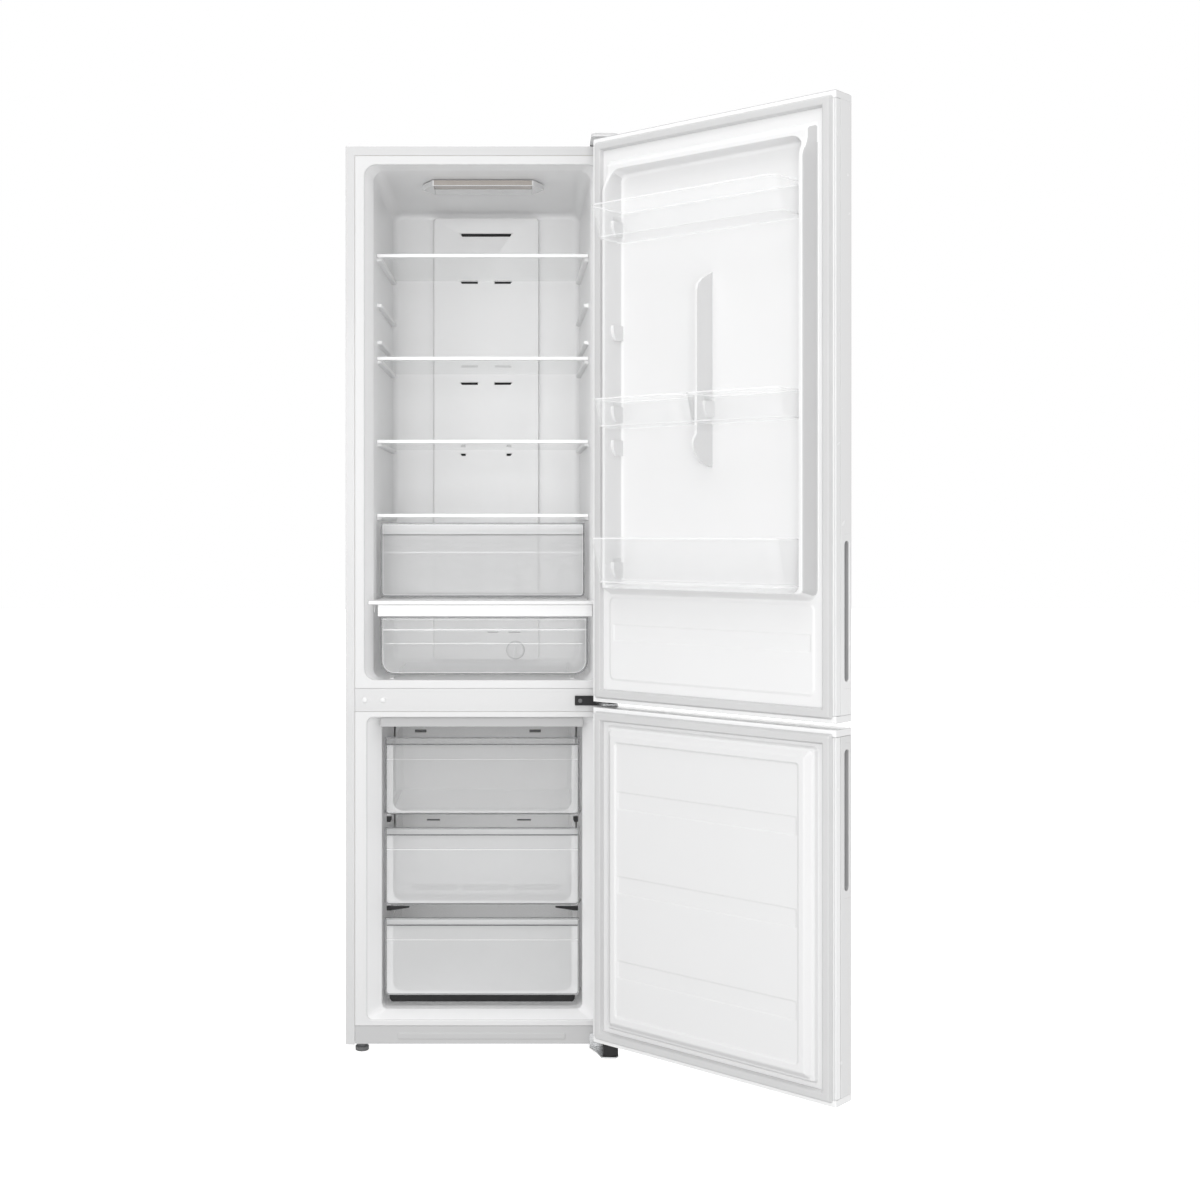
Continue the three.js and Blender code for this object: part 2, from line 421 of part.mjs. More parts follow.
piece('hinge_hole_cap', add(alongX(poly([[4, BODY_Z1 + 0.3], [4, 1993], [12, 1994.5], [84, 1994.5], [92, 1990], [92, BODY_Z1 + 0.3]]), -291, -246), box(-296, -291.2 + 1, 4.5, 91, BODY_Z1 + 0.3, 1990)), WHITE_STEEL);
{
  // middle: bent plate with one pin up and one pin down
  let c = add(box(206, 262, -3.2, -0.1, 764.5, 782), alongZ(poly([[249, -0.1], [249, -36], [262, -70], [292, -70], [295, -62], [295, -46], [275, -0.1]]), 769.6, 772.6));
  c = add(c, rod('z', HINGE.x, HINGE.y, 4.5, 753, 796, 20));
  piece('middle_hinge', c, STEEL);
  let k = cut(alongY(rrect(204, 262, 763, 784, 2), -7, -3.5, 2), box(248.6, 300, -10, 0, 769.2, 773.0));
  k = add(k, box(204, 205.6, -6.9, -0.1, 763.5, 783.5));
  piece('middle_hinge_cover', k, BLACK);
}
{
  // bottom: angle plate under the plinth with the pin that carries the lower door
  let c = add(box(236, 290, -3.2, -0.1, 14, 46), alongZ(poly([[236, -0.1], [236, -4], [250, -40], [258, -74], [290, -76], [296, -66], [296, -0.1]]), 14, 17.5));
  c = add(c, rod('z', HINGE.x, HINGE.y, 5, 16, 68, 20));
  piece('bottom_hinge', c, STEEL);
  piece('bottom_hinge_bush', cut(alongZ(rrect(262, 295, -72, -46, 6), 17.8, 40, 3), rod('z', HINGE.x, HINGE.y, 5.3, 10, 60, 20)), BLACK);
}

// ================================================================ doors (drawn shut, then turned)
function door(group, tag, Z) {
  const z0 = Z.z0, z1 = Z.z1;
  const cap = 14;      // height of the moulded end caps
  // outer skin: front sheet with rounded long edges and two returns
  let sk = alongZ(rrect(-HALF_W, HALF_W, DOOR_Y0, DOOR_Y1 + 20, [6, 6, 0, 0]), z0 + cap + GAP, z1 - cap - GAP, 4);
  sk = cut(sk, alongZ(rrect(-HALF_W + SKIN, HALF_W - SKIN, DOOR_Y0 + SKIN, 60, [5, 5, 0, 0]), z0 - 5, z1 + 5, 4),
    box(-400, 400, DOOR_Y1 - 6, 100, z0 - 10, z1 + 10));
  const gz = GRIP[tag];                                      // grip opening in the free edge
  sk = cut(sk, box(-310, -290, -62, -38, gz[0] - 14, gz[1] + 14));
  piece(`${tag}_door_skin`, sk, WHITE_STEEL, group);
  // end caps: moulded trays that close the top and bottom and hold the hinge bushes
  const tray = (a, b, bore, dome) => {
    let c = alongZ(rrect(-HALF_W, HALF_W, DOOR_Y0, DOOR_Y1, [6, 6, 2, 2]), a, b, 4);
    if (dome) c = add(c, alongX(poly([[DOOR_Y0 + 3, b - 1], [DOOR_Y0 + 6, b + 2], [DOOR_Y0 + 20, b + 3.4], [DOOR_Y1 - 22, b + 2.6], [DOOR_Y1 - 4, b - 1]]), -HALF_W + 2, 258));
    if (bore) c = cut(c, rod('z', HINGE.x, HINGE.y, bore, a - 30, b + 30, 20));
    return c;
  };
  const boreTop = tag === 'upper' ? 5.08 : 4.58, boreBottom = tag === 'upper' ? 4.58 : 5.08;
  piece(`${tag}_door_top_cap`, tray(z1 - cap, z1, boreTop, tag === 'upper'), WHITE_ABS, group);
  piece(`${tag}_door_bottom_cap`, tray(z0, z0 + cap, boreBottom, false), WHITE_ABS, group);
  // grip moulding: a trough let into the free edge, which the fingers reach into from the side
  let gr = box(-HALF_W + SKIN + GAP, -HALF_W + 26, -63, -35, gz[0] - 20, gz[1] + 20);
  gr = add(gr, box(-HALF_W - 0.0, -HALF_W + 4, -61.6, -38.4, gz[0] - 13.6, gz[1] + 13.6));
  gr = cut(gr, box(-HALF_W - 5, -HALF_W + 23, -58.5, -41.5, gz[0], gz[1]));
  piece(`${tag}_door_grip`, gr, { color: 0xbfc0c0, roughness: 0.45, metalness: 0 }, group);
  // inner frame line: liner plate
  return { z0, z1, cap };
}
door(upperDoor, 'upper', UPPER);
door(lowerDoor, 'lower', LOWER);

// Door liners. s is measured from the hinge edge: X = HALF_W - s.
const X = (s) => HALF_W - s;
const LINER_Y = DOOR_Y1;                     // liner plate lies in the door's inner plane
const LUGS = [1752, 1533, 1362, 1291, 1034];
{
  const z0 = UPPER.z0, z1 = UPPER.z1;
  // plate
  let c = box(-HALF_W + 1.3, HALF_W - 1.3, LINER_Y - 2.2, LINER_Y, z0 + 14.3, z1 - 14.3);
  // raised frame, 35 mm proud at the sides and the bottom, lower across the top
  const bz0 = 1012, bz1 = 1926;
  const outerS = [40.5, 555.2];
  let frame = loftY({ x0: X(outerS[1]), x1: X(outerS[0]), z0: bz0, z1: bz1, r: 30 }, LINER_Y - 1, { x0: X(542), x1: X(53.5), z0: bz0 + 7, z1: bz1 - 9, r: 30 }, LINER_Y + 35, 3);
  // the top of the frame drops to 18 mm, with a slope down the sides
  frame = cut(frame, alongX(poly([[LINER_Y + 60, 1835], [LINER_Y + 36, 1835], [LINER_Y + 18, 1886], [LINER_Y + 18, 1990], [LINER_Y + 60, 1990]]), -400, 400));
  // hollow from behind so that it is a formed sheet, then the recess inside the frame
  c = add(c, frame);
  const rec = loftY({ x0: X(529.5), x1: X(65), z0: bz0 + 21, z1: bz1 - 30, r: [12, 12, 26, 26] }, LINER_Y - 15, { x0: X(533), x1: X(62.2), z0: bz0 + 15, z1: bz1 - 24, r: [12, 12, 26, 26] }, LINER_Y + 36, 3);
  const back = loftY({ x0: X(531.7), x1: X(62.8), z0: bz0 + 18.8, z1: bz1 - 27.8, r: [14, 14, 28, 28] }, LINER_Y - 17, { x0: X(533), x1: X(61), z0: bz0 + 16, z1: bz1 - 25, r: [14, 14, 28, 28] }, LINER_Y + 2, 3);
  c = add(c, back);
  c = cut(c, rec);
  // hollow side of the raised frame, reached from the foam side
  const hol = cut(
    loftY({ x0: X(553), x1: X(43), z0: bz0 + 2.5, z1: bz1 - 2.5, r: 28 }, LINER_Y - 5, { x0: X(540.4), x1: X(55.1), z0: bz0 + 9.5, z1: bz1 - 11.5, r: 28 }, LINER_Y + 32.8, 3),
    loftY({ x0: X(532), x1: X(62.6), z0: bz0 + 18.6, z1: bz1 - 27.6, r: [14, 14, 28, 28] }, LINER_Y - 20, { x0: X(535.4), x1: X(59.8), z0: bz0 + 12.6, z1: bz1 - 21.6, r: [14, 14, 28, 28] }, LINER_Y + 40, 3),
    alongX(poly([[LINER_Y + 60, 1830], [LINER_Y + 33.8, 1832.6], [LINER_Y + 15.8, 1884.6], [LINER_Y + 15.8, 1990], [LINER_Y + 60, 1990]]), -400, 400));
  c = cut(c, hol);
  // central rib between the two small bins, with its lower foot
  const rib = alongX(poly([[LINER_Y - 15.5, 1664], [LINER_Y + 22, 1648], [LINER_Y + 38, 1628], [LINER_Y + 38, 1338], [LINER_Y + 50, 1326], [LINER_Y + 50, 1312], [LINER_Y + 24, 1284], [LINER_Y - 15.5, 1276]]), X(300), X(294));
  c = add(c, rib);
  // lower panel: shallow raised pad with a rounded outline
  c = add(c, alongY(rrect(X(549), X(46), 829, 1004, 14), LINER_Y - 1, LINER_Y + 2.2, 3));
  c = cut(c, box(X(540), X(55), LINER_Y + 1, LINER_Y + 5, 912, 916), box(X(540), X(55), LINER_Y + 1, LINER_Y + 5, 946, 950));
  // lugs that carry the bins, standing in from the frame's sides and from the rib
  const lug = (z, s0, s1) => alongX(poly([[LINER_Y - 8, z + 12], [LINER_Y - 8, z + 44], [LINER_Y + 18, z + 44], [LINER_Y + 18, z + 26], [LINER_Y + 10, z + 12]]), X(s1), X(s0));
  for (const z of LUGS) c = add(c, lug(z, 61, 71), lug(z, 524.6, 534));
  c = add(c, lug(1362, 288.5, 295), lug(1362, 299, 305.5));
  piece('upper_door_liner', c, WHITE_ABS, upperDoor);
}
{
  const z0 = LOWER.z0, z1 = LOWER.z1;
  let c = box(-HALF_W + 1.3, HALF_W - 1.3, LINER_Y - 2.2, LINER_Y, z0 + 14.3, z1 - 14.3);
  // stepped pad: one step near the edge, a deeper one inside
  c = add(c, loftY({ x0: X(556), x1: X(42), z0: 92, z1: 733, r: 6 }, LINER_Y - 1, { x0: X(552), x1: X(46), z0: 96, z1: 729, r: 6 }, LINER_Y + 8, 3));
  c = add(c, loftY({ x0: X(548), x1: X(50), z0: 99, z1: 726, r: 6 }, LINER_Y + 7, { x0: X(536), x1: X(62), z0: 110, z1: 716, r: 6 }, LINER_Y + 20, 3));
  c = cut(c, alongY(rrect(X(524), X(74), 124, 702, 5), LINER_Y + 16.5, LINER_Y + 40, 3));
  c = cut(c,
    loftY({ x0: X(553), x1: X(45), z0: 95, z1: 730, r: 5 }, LINER_Y - 5, { x0: X(549), x1: X(49), z0: 99, z1: 726, r: 5 }, LINER_Y + 5.8, 3),
    loftY({ x0: X(545), x1: X(53), z0: 102, z1: 723, r: 5 }, LINER_Y + 5, { x0: X(533.5), x1: X(64.5), z0: 112.5, z1: 713.5, r: 5 }, LINER_Y + 14.3, 3));
  // three pairs of pressed lines
  for (const z of [561, 384, 207]) c = cut(c, box(X(518), X(80), LINER_Y + 15.5, LINER_Y + 30, z, z + 4), box(X(518), X(80), LINER_Y + 15.5, LINER_Y + 30, z + 36, z + 40));
  piece('lower_door_liner', c, WHITE_ABS, lowerDoor);
}
// Magnetic gaskets.
for (const [tag, Z, g] of [['upper', UPPER, upperDoor], ['lower', LOWER, lowerDoor]]) {
  const z0 = Z.z0 + 8, z1 = Z.z1 - 8;
  let c = loftY({ x0: X(587.6), x1: X(8), z0: z0, z1: z1, r: 3 }, LINER_Y + 0.3, { x0: X(585), x1: X(9.5), z0: z0 + 2, z1: z1 - 2, r: 3 }, LINER_Y + 9.2, 2);
  c = cut(c, loftY({ x0: X(566.5), x1: X(29), z0: z0 + 21, z1: z1 - 21, r: 2 }, LINER_Y - 1, { x0: X(569), x1: X(27), z0: z0 + 19, z1: z1 - 19, r: 2 }, LINER_Y + 12, 2));
  piece(`${tag}_door_gasket`, c, SEAL, g);
}
// Door bins: clear tubs, wider in front at the top than at the floor, with an ear at each end that
// hangs on a lug, so that a bin lifts straight off.
function bin(name, s0, s1, zf, zt, hTop, hBot, lugZ, hBack = -11) {
  const make = (d, top) => {
    const g = extrude(rrect(X(s1) + d, X(s0) - d, LINER_Y + hBack + d, LINER_Y + hTop - d, [0, 0, 22 - d, 22 - d]), zt - zf + top - d, 3)
      .translate(0, 0, zf + d);
    const p = g.attributes.position;
    for (let i = 0; i < p.count; i++) {
      const t = Math.max(0, (zt - p.getZ(i)) / (zt - zf));
      const f = (p.getY(i) - (LINER_Y + hBack)) / (hTop - hBack);
      p.setY(i, p.getY(i) - f * t * (hTop - hBot));
    }
    return solid(g);
  };
  let c = cut(make(0, 0), make(2, 20));
  c = add(c, box(X(s0 + 1), X(s0 - 5.5), LINER_Y - 6, LINER_Y + 16, lugZ + 44.3, lugZ + 53),
    box(X(s1 + 5.5), X(s1 - 1), LINER_Y - 6, LINER_Y + 16, lugZ + 44.3, lugZ + 53));
  piece(name, c, CLEAR, upperDoor);
}
bin('door_bin_top', 72.5, 523.5, 1750, 1816, 106, 82, 1752);
bin('door_bin_middle_left', 72.5, 287, 1360, 1417.5, 98, 80, 1362);
bin('door_bin_middle_right', 307, 523.5, 1360, 1417.5, 98, 80, 1362);
bin('door_bin_bottom', 72.5, 523.5, 1038, 1131, 106, 82, 1034);

export default root;
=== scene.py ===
import bpy, bmesh, math
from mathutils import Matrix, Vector
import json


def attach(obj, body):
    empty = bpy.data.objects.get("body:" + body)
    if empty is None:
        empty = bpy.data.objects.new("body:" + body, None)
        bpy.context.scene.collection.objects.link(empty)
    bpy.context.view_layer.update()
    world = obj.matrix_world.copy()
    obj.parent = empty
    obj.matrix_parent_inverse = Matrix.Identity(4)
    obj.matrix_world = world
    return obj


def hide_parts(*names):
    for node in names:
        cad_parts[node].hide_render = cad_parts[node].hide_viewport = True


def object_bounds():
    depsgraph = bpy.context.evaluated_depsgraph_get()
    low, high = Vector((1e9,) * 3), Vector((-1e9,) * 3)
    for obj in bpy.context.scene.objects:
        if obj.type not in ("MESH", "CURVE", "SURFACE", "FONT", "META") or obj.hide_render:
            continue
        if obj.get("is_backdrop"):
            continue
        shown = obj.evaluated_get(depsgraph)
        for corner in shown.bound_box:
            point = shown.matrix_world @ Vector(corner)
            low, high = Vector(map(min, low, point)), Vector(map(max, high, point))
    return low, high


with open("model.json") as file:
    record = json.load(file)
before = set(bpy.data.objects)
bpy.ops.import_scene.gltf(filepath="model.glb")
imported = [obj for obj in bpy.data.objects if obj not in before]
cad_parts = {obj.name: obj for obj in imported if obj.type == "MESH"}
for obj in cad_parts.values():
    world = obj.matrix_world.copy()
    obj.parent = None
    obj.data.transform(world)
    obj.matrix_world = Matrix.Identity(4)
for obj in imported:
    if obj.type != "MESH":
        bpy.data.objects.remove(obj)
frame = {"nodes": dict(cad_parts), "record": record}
CAD_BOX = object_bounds()
NODES = frame["nodes"]
OWNER = {n: b for b, ns in frame["record"]["behaviour"]["bodies"].items() for n in ns}
SLOT = {s["node"]: s["material_slot"] for s in frame["record"]["subparts"]}
SCENE = bpy.context.scene

# ------------------------------------------------------------------ coordinates, millimetres
ORIGIN = (210.9, 31.8)
HINGE = (283.0, -58.0)
OPEN = math.radians(137.9)
CO, SO = math.cos(OPEN), math.sin(OPEN)


def cab(p):
    """Cabinet millimetres (X from the centre line, Y from the case's front face, Z from the floor)."""
    return ((p[0] - ORIGIN[0]) / 1000, (p[1] - ORIGIN[1]) / 1000, p[2] / 1000)


def dor(p):
    """Door millimetres (s from the hinge edge, h out of the door's inner face, Z from the floor), at rest."""
    dx, dy = 297.5 - p[0] - HINGE[0], -10 + p[1] - HINGE[1]
    return cab((HINGE[0] + CO * dx - SO * dy, HINGE[1] + SO * dx + CO * dy, p[2]))


# ------------------------------------------------------------------ materials
def material(name, base, rough=0.4, metal=0.0, grain=600.0, bump=0.04, tint=0.02, rough_var=0.06,
             alpha=None, stretch=(1, 1, 1), coat=0.0, spec=0.5, blotch=9.0, ior=1.5, sheen=0.0):
    m = bpy.data.materials.new(name)
    m.use_nodes = True
    nt = m.node_tree
    n, l = nt.nodes, nt.links
    n.clear()
    out = n.new("ShaderNodeOutputMaterial")
    b = n.new("ShaderNodeBsdfPrincipled")
    l.new(b.outputs[0], out.inputs[0])
    b.inputs["Metallic"].default_value = metal
    b.inputs["Specular IOR Level"].default_value = spec
    b.inputs["IOR"].default_value = ior
    b.inputs["Coat Weight"].default_value = coat
    b.inputs["Coat Roughness"].default_value = 0.08
    b.inputs["Sheen Weight"].default_value = sheen
    tc = n.new("ShaderNodeTexCoord")
    mp = n.new("ShaderNodeMapping")
    mp.inputs["Scale"].default_value = stretch
    l.new(tc.outputs["Object"], mp.inputs[0])
    # broad, faint colour change, as in a large moulded or painted surface
    n1 = n.new("ShaderNodeTexNoise")
    n1.inputs["Scale"].default_value = blotch
    n1.inputs["Detail"].default_value = 3
    l.new(mp.outputs[0], n1.inputs["Vector"])
    ramp = n.new("ShaderNodeValToRGB")
    ramp.color_ramp.elements[0].position = 0.3
    ramp.color_ramp.elements[1].position = 0.72
    lo = [max(0, c * (1 - tint)) for c in base[:3]]
    hi = [min(1, c * (1 + tint * 0.4)) for c in base[:3]]
    ramp.color_ramp.elements[0].color = (*lo, 1)
    ramp.color_ramp.elements[1].color = (*hi, 1)
    l.new(n1.outputs["Fac"], ramp.inputs[0])
    l.new(ramp.outputs[0], b.inputs["Base Color"])
    # gloss that changes with handling marks and the mould's texture
    n2 = n.new("ShaderNodeTexNoise")
    n2.inputs["Scale"].default_value = 34
    n2.inputs["Detail"].default_value = 5
    n2.inputs["Distortion"].default_value = 0.6
    l.new(mp.outputs[0], n2.inputs["Vector"])
    mr = n.new("ShaderNodeMapRange")
    mr.inputs["From Min"].default_value = 0.3
    mr.inputs["From Max"].default_value = 0.7
    mr.inputs["To Min"].default_value = max(0.02, rough - rough_var)
    mr.inputs["To Max"].default_value = min(1, rough + rough_var)
    l.new(n2.outputs["Fac"], mr.inputs["Value"])
    l.new(mr.outputs[0], b.inputs["Roughness"])
    if bump:
        n3 = n.new("ShaderNodeTexNoise")
        n3.inputs["Scale"].default_value = grain
        n3.inputs["Detail"].default_value = 2
        l.new(mp.outputs[0], n3.inputs["Vector"])
        bp = n.new("ShaderNodeBump")
        bp.inputs["Strength"].default_value = bump
        bp.inputs["Distance"].default_value = 0.0005
        l.new(n3.outputs["Fac"], bp.inputs["Height"])
        l.new(bp.outputs[0], b.inputs["Normal"])
    if alpha is not None:
        lw = n.new("ShaderNodeLayerWeight")
        lw.inputs["Blend"].default_value = 0.25
        ar = n.new("ShaderNodeMapRange")
        ar.inputs["From Min"].default_value = 0.0
        ar.inputs["From Max"].default_value = 0.9
        ar.inputs["To Min"].default_value = alpha[0]
        ar.inputs["To Max"].default_value = alpha[1]
        l.new(lw.outputs["Facing"], ar.inputs["Value"])
        # seen from inside, a clear wall lets light through and doesn't mirror
        ge = n.new("ShaderNodeNewGeometry")
        inv = n.new("ShaderNodeMath")
        inv.operation = "SUBTRACT"
        inv.inputs[0].default_value = 1.0
        l.new(ge.outputs["Backfacing"], inv.inputs[1])
        mu = n.new("ShaderNodeMath")
        mu.operation = "MULTIPLY"
        l.new(ar.outputs[0], mu.inputs[0])
        l.new(inv.outputs[0], mu.inputs[1])
        l.new(mu.outputs[0], b.inputs["Alpha"])
    return m


MAT = {
    "case_white": material("white_painted_steel", (0.575, 0.575, 0.577), 0.30, grain=420, bump=0.008, tint=0.006, coat=0.2, rough_var=0.015),
    "abs_white": material("white_moulded_plastic", (0.74, 0.74, 0.742), 0.38, grain=520, bump=0.008, tint=0.006, rough_var=0.015),
    "liner_door": material("white_fridge_door_liner", (0.775, 0.775, 0.777), 0.33, grain=380, bump=0.008, tint=0.006, rough_var=0.015),
    # the doors' sides, caps and grips use lighter copies of the case's white paint: painted light; the lower door's
    # copy is darker than the upper's: painted shade
    "door_white": material("white_painted_door_skin", (0.84, 0.84, 0.842), 0.26, grain=420, bump=0.008, tint=0.006, coat=0.3, rough_var=0.015),
    "door_side_low_painted_shade": material("white_lower_door_skin_painted_shade", (0.7, 0.7, 0.702), 0.26, grain=420, bump=0.008, tint=0.006, coat=0.3, rough_var=0.015),
    # darker copies of the door liner's white, for its walls that face the free edge: painted shade
    "liner_wall_painted_shade": material("white_door_liner_wall", (0.55, 0.55, 0.552), 0.36, grain=380, bump=0.012, tint=0.008, rough_var=0.03),
    "liner_lower": material("white_freezer_door_liner", (0.72, 0.72, 0.722), 0.33, grain=380, bump=0.008, tint=0.006, rough_var=0.015),
    "liner_white": material("white_vacuum_formed_liner", (0.875, 0.875, 0.877), 0.33, grain=380, bump=0.008, tint=0.006, rough_var=0.015),
    # a darker copy of the liner's white for the face the gasket meets: painted shade
    "liner_flange_painted_shade": material("white_liner_flange", (0.66, 0.66, 0.662), 0.33, grain=380, bump=0.008, tint=0.006, rough_var=0.015),
    "shelf_white": material("white_shelf_front", (0.92, 0.92, 0.922), 0.25, grain=520, bump=0.008, tint=0.008, rough_var=0.015),
    # a darker copy of the white for the freezer's top band and the doors' cap tops: painted shade
    "band_white_painted_shade": material("white_band_and_cap_top_painted_shade", (0.47, 0.47, 0.472), 0.36, grain=520, bump=0.008, tint=0.006, rough_var=0.015),
    "liner_rib_painted_shade": material("white_door_liner_rib", (0.66, 0.66, 0.662), 0.36, grain=380, bump=0.012, tint=0.008, rough_var=0.03),
    "plinth_white": material("white_plinth_moulding", (0.48, 0.48, 0.482), 0.36, grain=520, bump=0.008, tint=0.006, rough_var=0.015),
    "trim_white": material("white_shelf_trim", (0.76, 0.76, 0.762), 0.25, grain=520, bump=0.008, tint=0.008, rough_var=0.015),
    "clear_plastic": material("clear_polystyrene", (0.93, 0.94, 0.95), 0.10, grain=120, bump=0.01, tint=0.02, rough_var=0.03, alpha=(0.05, 0.26)),
    "clear_tub": material("milky_polystyrene_tub", (0.95, 0.955, 0.96), 0.14, grain=120, bump=0.01, tint=0.02, rough_var=0.03, alpha=(0.14, 0.5)),
    "clear_crisper": material("clear_polystyrene_crisper_front", (0.96, 0.965, 0.97), 0.16, grain=120, bump=0.01, tint=0.02, rough_var=0.03, alpha=(0.28, 0.5)),
    "clear_line_painted_highlight": material("clear_polystyrene_ridge_painted_highlight", (0.97, 0.97, 0.972), 0.2, grain=120, bump=0.01, tint=0.02, rough_var=0.03, alpha=(0.86, 0.95)),
    "clear_low": material("clear_polystyrene_low_front", (0.96, 0.965, 0.97), 0.14, grain=120, bump=0.01, tint=0.02, rough_var=0.03, alpha=(0.26, 0.48)),
    # more opaque copies of the freezer's clear front, so lighter towards the bottom drawer: painted light
    "clear_front_mid_painted_light": material("clear_polystyrene_front_mid_painted_light", (0.95, 0.955, 0.96), 0.16, grain=120, bump=0.01, tint=0.02, rough_var=0.03, alpha=(0.34, 0.52)),
    "clear_front_low_painted_light": material("clear_polystyrene_front_low_painted_light", (0.95, 0.955, 0.96), 0.16, grain=120, bump=0.01, tint=0.02, rough_var=0.03, alpha=(0.46, 0.6)),
    "clear_front": material("clear_polystyrene_front", (0.95, 0.955, 0.96), 0.16, grain=120, bump=0.01, tint=0.02, rough_var=0.03, alpha=(0.20, 0.45)),
    "clear_bin": material("clear_polystyrene_bin", (0.95, 0.955, 0.96), 0.10, grain=120, bump=0.01, tint=0.02, rough_var=0.03, alpha=(0.15, 0.42)),
    "clear_rim": material("clear_polystyrene_rim", (0.95, 0.95, 0.955), 0.14, grain=120, bump=0.01, tint=0.02, rough_var=0.03, alpha=(0.55, 0.92)),
    "clear_haze": material("clear_polystyrene_flange", (0.96, 0.96, 0.965), 0.18, grain=160, bump=0.01, tint=0.03, rough_var=0.04, alpha=(0.42, 0.6)),
    "clear_shade": material("clear_polystyrene_edge_painted_shade", (0.07, 0.075, 0.08), 0.15, grain=120, bump=0.01, tint=0.04, rough_var=0.03, alpha=(0.84, 0.95)),
    "shelf_glass": material("toughened_glass", (0.90, 0.93, 0.92), 0.04, grain=90, bump=0, tint=0.02, rough_var=0.02, alpha=(0.08, 0.45)),
    "steel": material("zinc_plated_steel", (0.40, 0.405, 0.41), 0.30, metal=1.0, grain=500, bump=0.03, tint=0.08, rough_var=0.10, stretch=(1, 1, 6)),
    "black_plastic": material("black_nylon", (0.010, 0.010, 0.011), 0.5, grain=600, bump=0.04, tint=0.2, spec=0.25),
    "black_steel": material("black_enamelled_steel", (0.02, 0.02, 0.022), 0.33, grain=500, bump=0.03, tint=0.2),
    "seal": material("white_pvc_gasket", (0.58, 0.58, 0.582), 0.55, grain=500, bump=0.02, tint=0.02),
    "foam": material("polyurethane_foam", (0.80, 0.70, 0.42), 0.9, grain=260, bump=0.4, tint=0.15),
    "fin_aluminium": material("aluminium_fins", (0.80, 0.81, 0.82), 0.35, metal=1.0, grain=400, bump=0.04, tint=0.05, stretch=(20, 1, 1)),
    "grip_grey": material("grey_grip_moulding", (0.40, 0.40, 0.405), 0.42, grain=600, bump=0.03, tint=0.05),
    "roller_grey": material("dark_nylon_roller", (0.06, 0.06, 0.065), 0.45, grain=500, bump=0.04, tint=0.1),
    "foot_grey": material("grey_foot_moulding", (0.11, 0.112, 0.115), 0.45, grain=500, bump=0.05, tint=0.1),
    "lamp_lens": material("lamp_diffuser", (0.40, 0.365, 0.335), 0.22, grain=300, bump=0.02, tint=0.02),
    "dark_gap": material("shadowed_duct", (0.008, 0.008, 0.009), 0.7, grain=500, bump=0.05, tint=0.2),
    "cover_grey": material("grey_rear_cover", (0.12, 0.12, 0.125), 0.55, grain=500, bump=0.06, tint=0.1),
}


SEE_THROUGH = ("clear_line_painted_highlight", "clear_low", "clear_front_mid_painted_light", "clear_front_low_painted_light", "clear_plastic", "clear_crisper", "clear_tub", "clear_front", "clear_bin", "clear_rim", "clear_haze", "shelf_glass")


# ------------------------------------------------------------------ mesh building
class Build:
    """Collects closed pieces of one object in millimetres."""

    def __init__(self, place=cab):
        self.v, self.f, self.place = [], [], place

    def add(self, verts, faces):
        k = len(self.v)
        self.v += [tuple(v) for v in verts]
        self.f += [tuple(i + k for i in f) for f in faces]
        return self

    def loft(self, rings, cap0=True, cap1=True, closed=False):
        m, verts, faces = len(rings[0]), [p for r in rings for p in r], []
        for i in range(len(rings) - (0 if closed else 1)):
            a, b = i * m, ((i + 1) % len(rings)) * m
            for j in range(m):
                q = [a + j, a + (j + 1) % m, b + (j + 1) % m, b + j]
                pts = []
                for t in q:
                    if all(math.dist(verts[t], verts[u]) > 1e-4 for u in pts):
                        pts.append(t)
                if len(pts) >= 3:
                    faces.append(pts)
        if not closed:
            if cap0:
                faces.append(list(range(m))[::-1])
            if cap1:
                faces.append([(len(rings) - 1) * m + j for j in range(m)])
        return self.add(verts, faces)

    def block(self, x0, x1, y0, y1, z0, z1, b=0.6):
        """A rectangular block with rounded edges, as a loft of rounded outlines."""
        b = min(b, (x1 - x0) / 2.2, (y1 - y0) / 2.2, (z1 - z0) / 2.2)
        rings = []
        for t, d in ((0, b), (0.3, b * 0.35), (1, 0)):
            rings.append([(x, y, z0 + b * t) for x, y in rr(x0 + d, x1 - d, y0 + d, y1 - d, b, 2)])
        for t, d in ((1, 0), (0.3, b * 0.35), (0, b)):
            rings.append([(x, y, z1 - b * t) for x, y in rr(x0 + d, x1 - d, y0 + d, y1 - d, b, 2)])
        return self.loft(rings)

    def make(self, name, body, mat, slot=None, replaces=(), smooth=38, bevel=None, solid=None, weld=2e-6, flip=False, seg=2):
        me = bpy.data.meshes.new(name)
        me.from_pydata([self.place(v) for v in self.v], [], self.f)
        bm = bmesh.new()
        bm.from_mesh(me)
        bmesh.ops.remove_doubles(bm, verts=bm.verts, dist=weld)
        bmesh.ops.dissolve_degenerate(bm, edges=bm.edges, dist=1e-7)
        bmesh.ops.recalc_face_normals(bm, faces=bm.faces)
        if flip:
            bmesh.ops.reverse_faces(bm, faces=bm.faces)
        bm.to_mesh(me)
        bm.free()
        return finish_piece(name, me, body, mat, replaces, smooth, bevel, solid, seg)


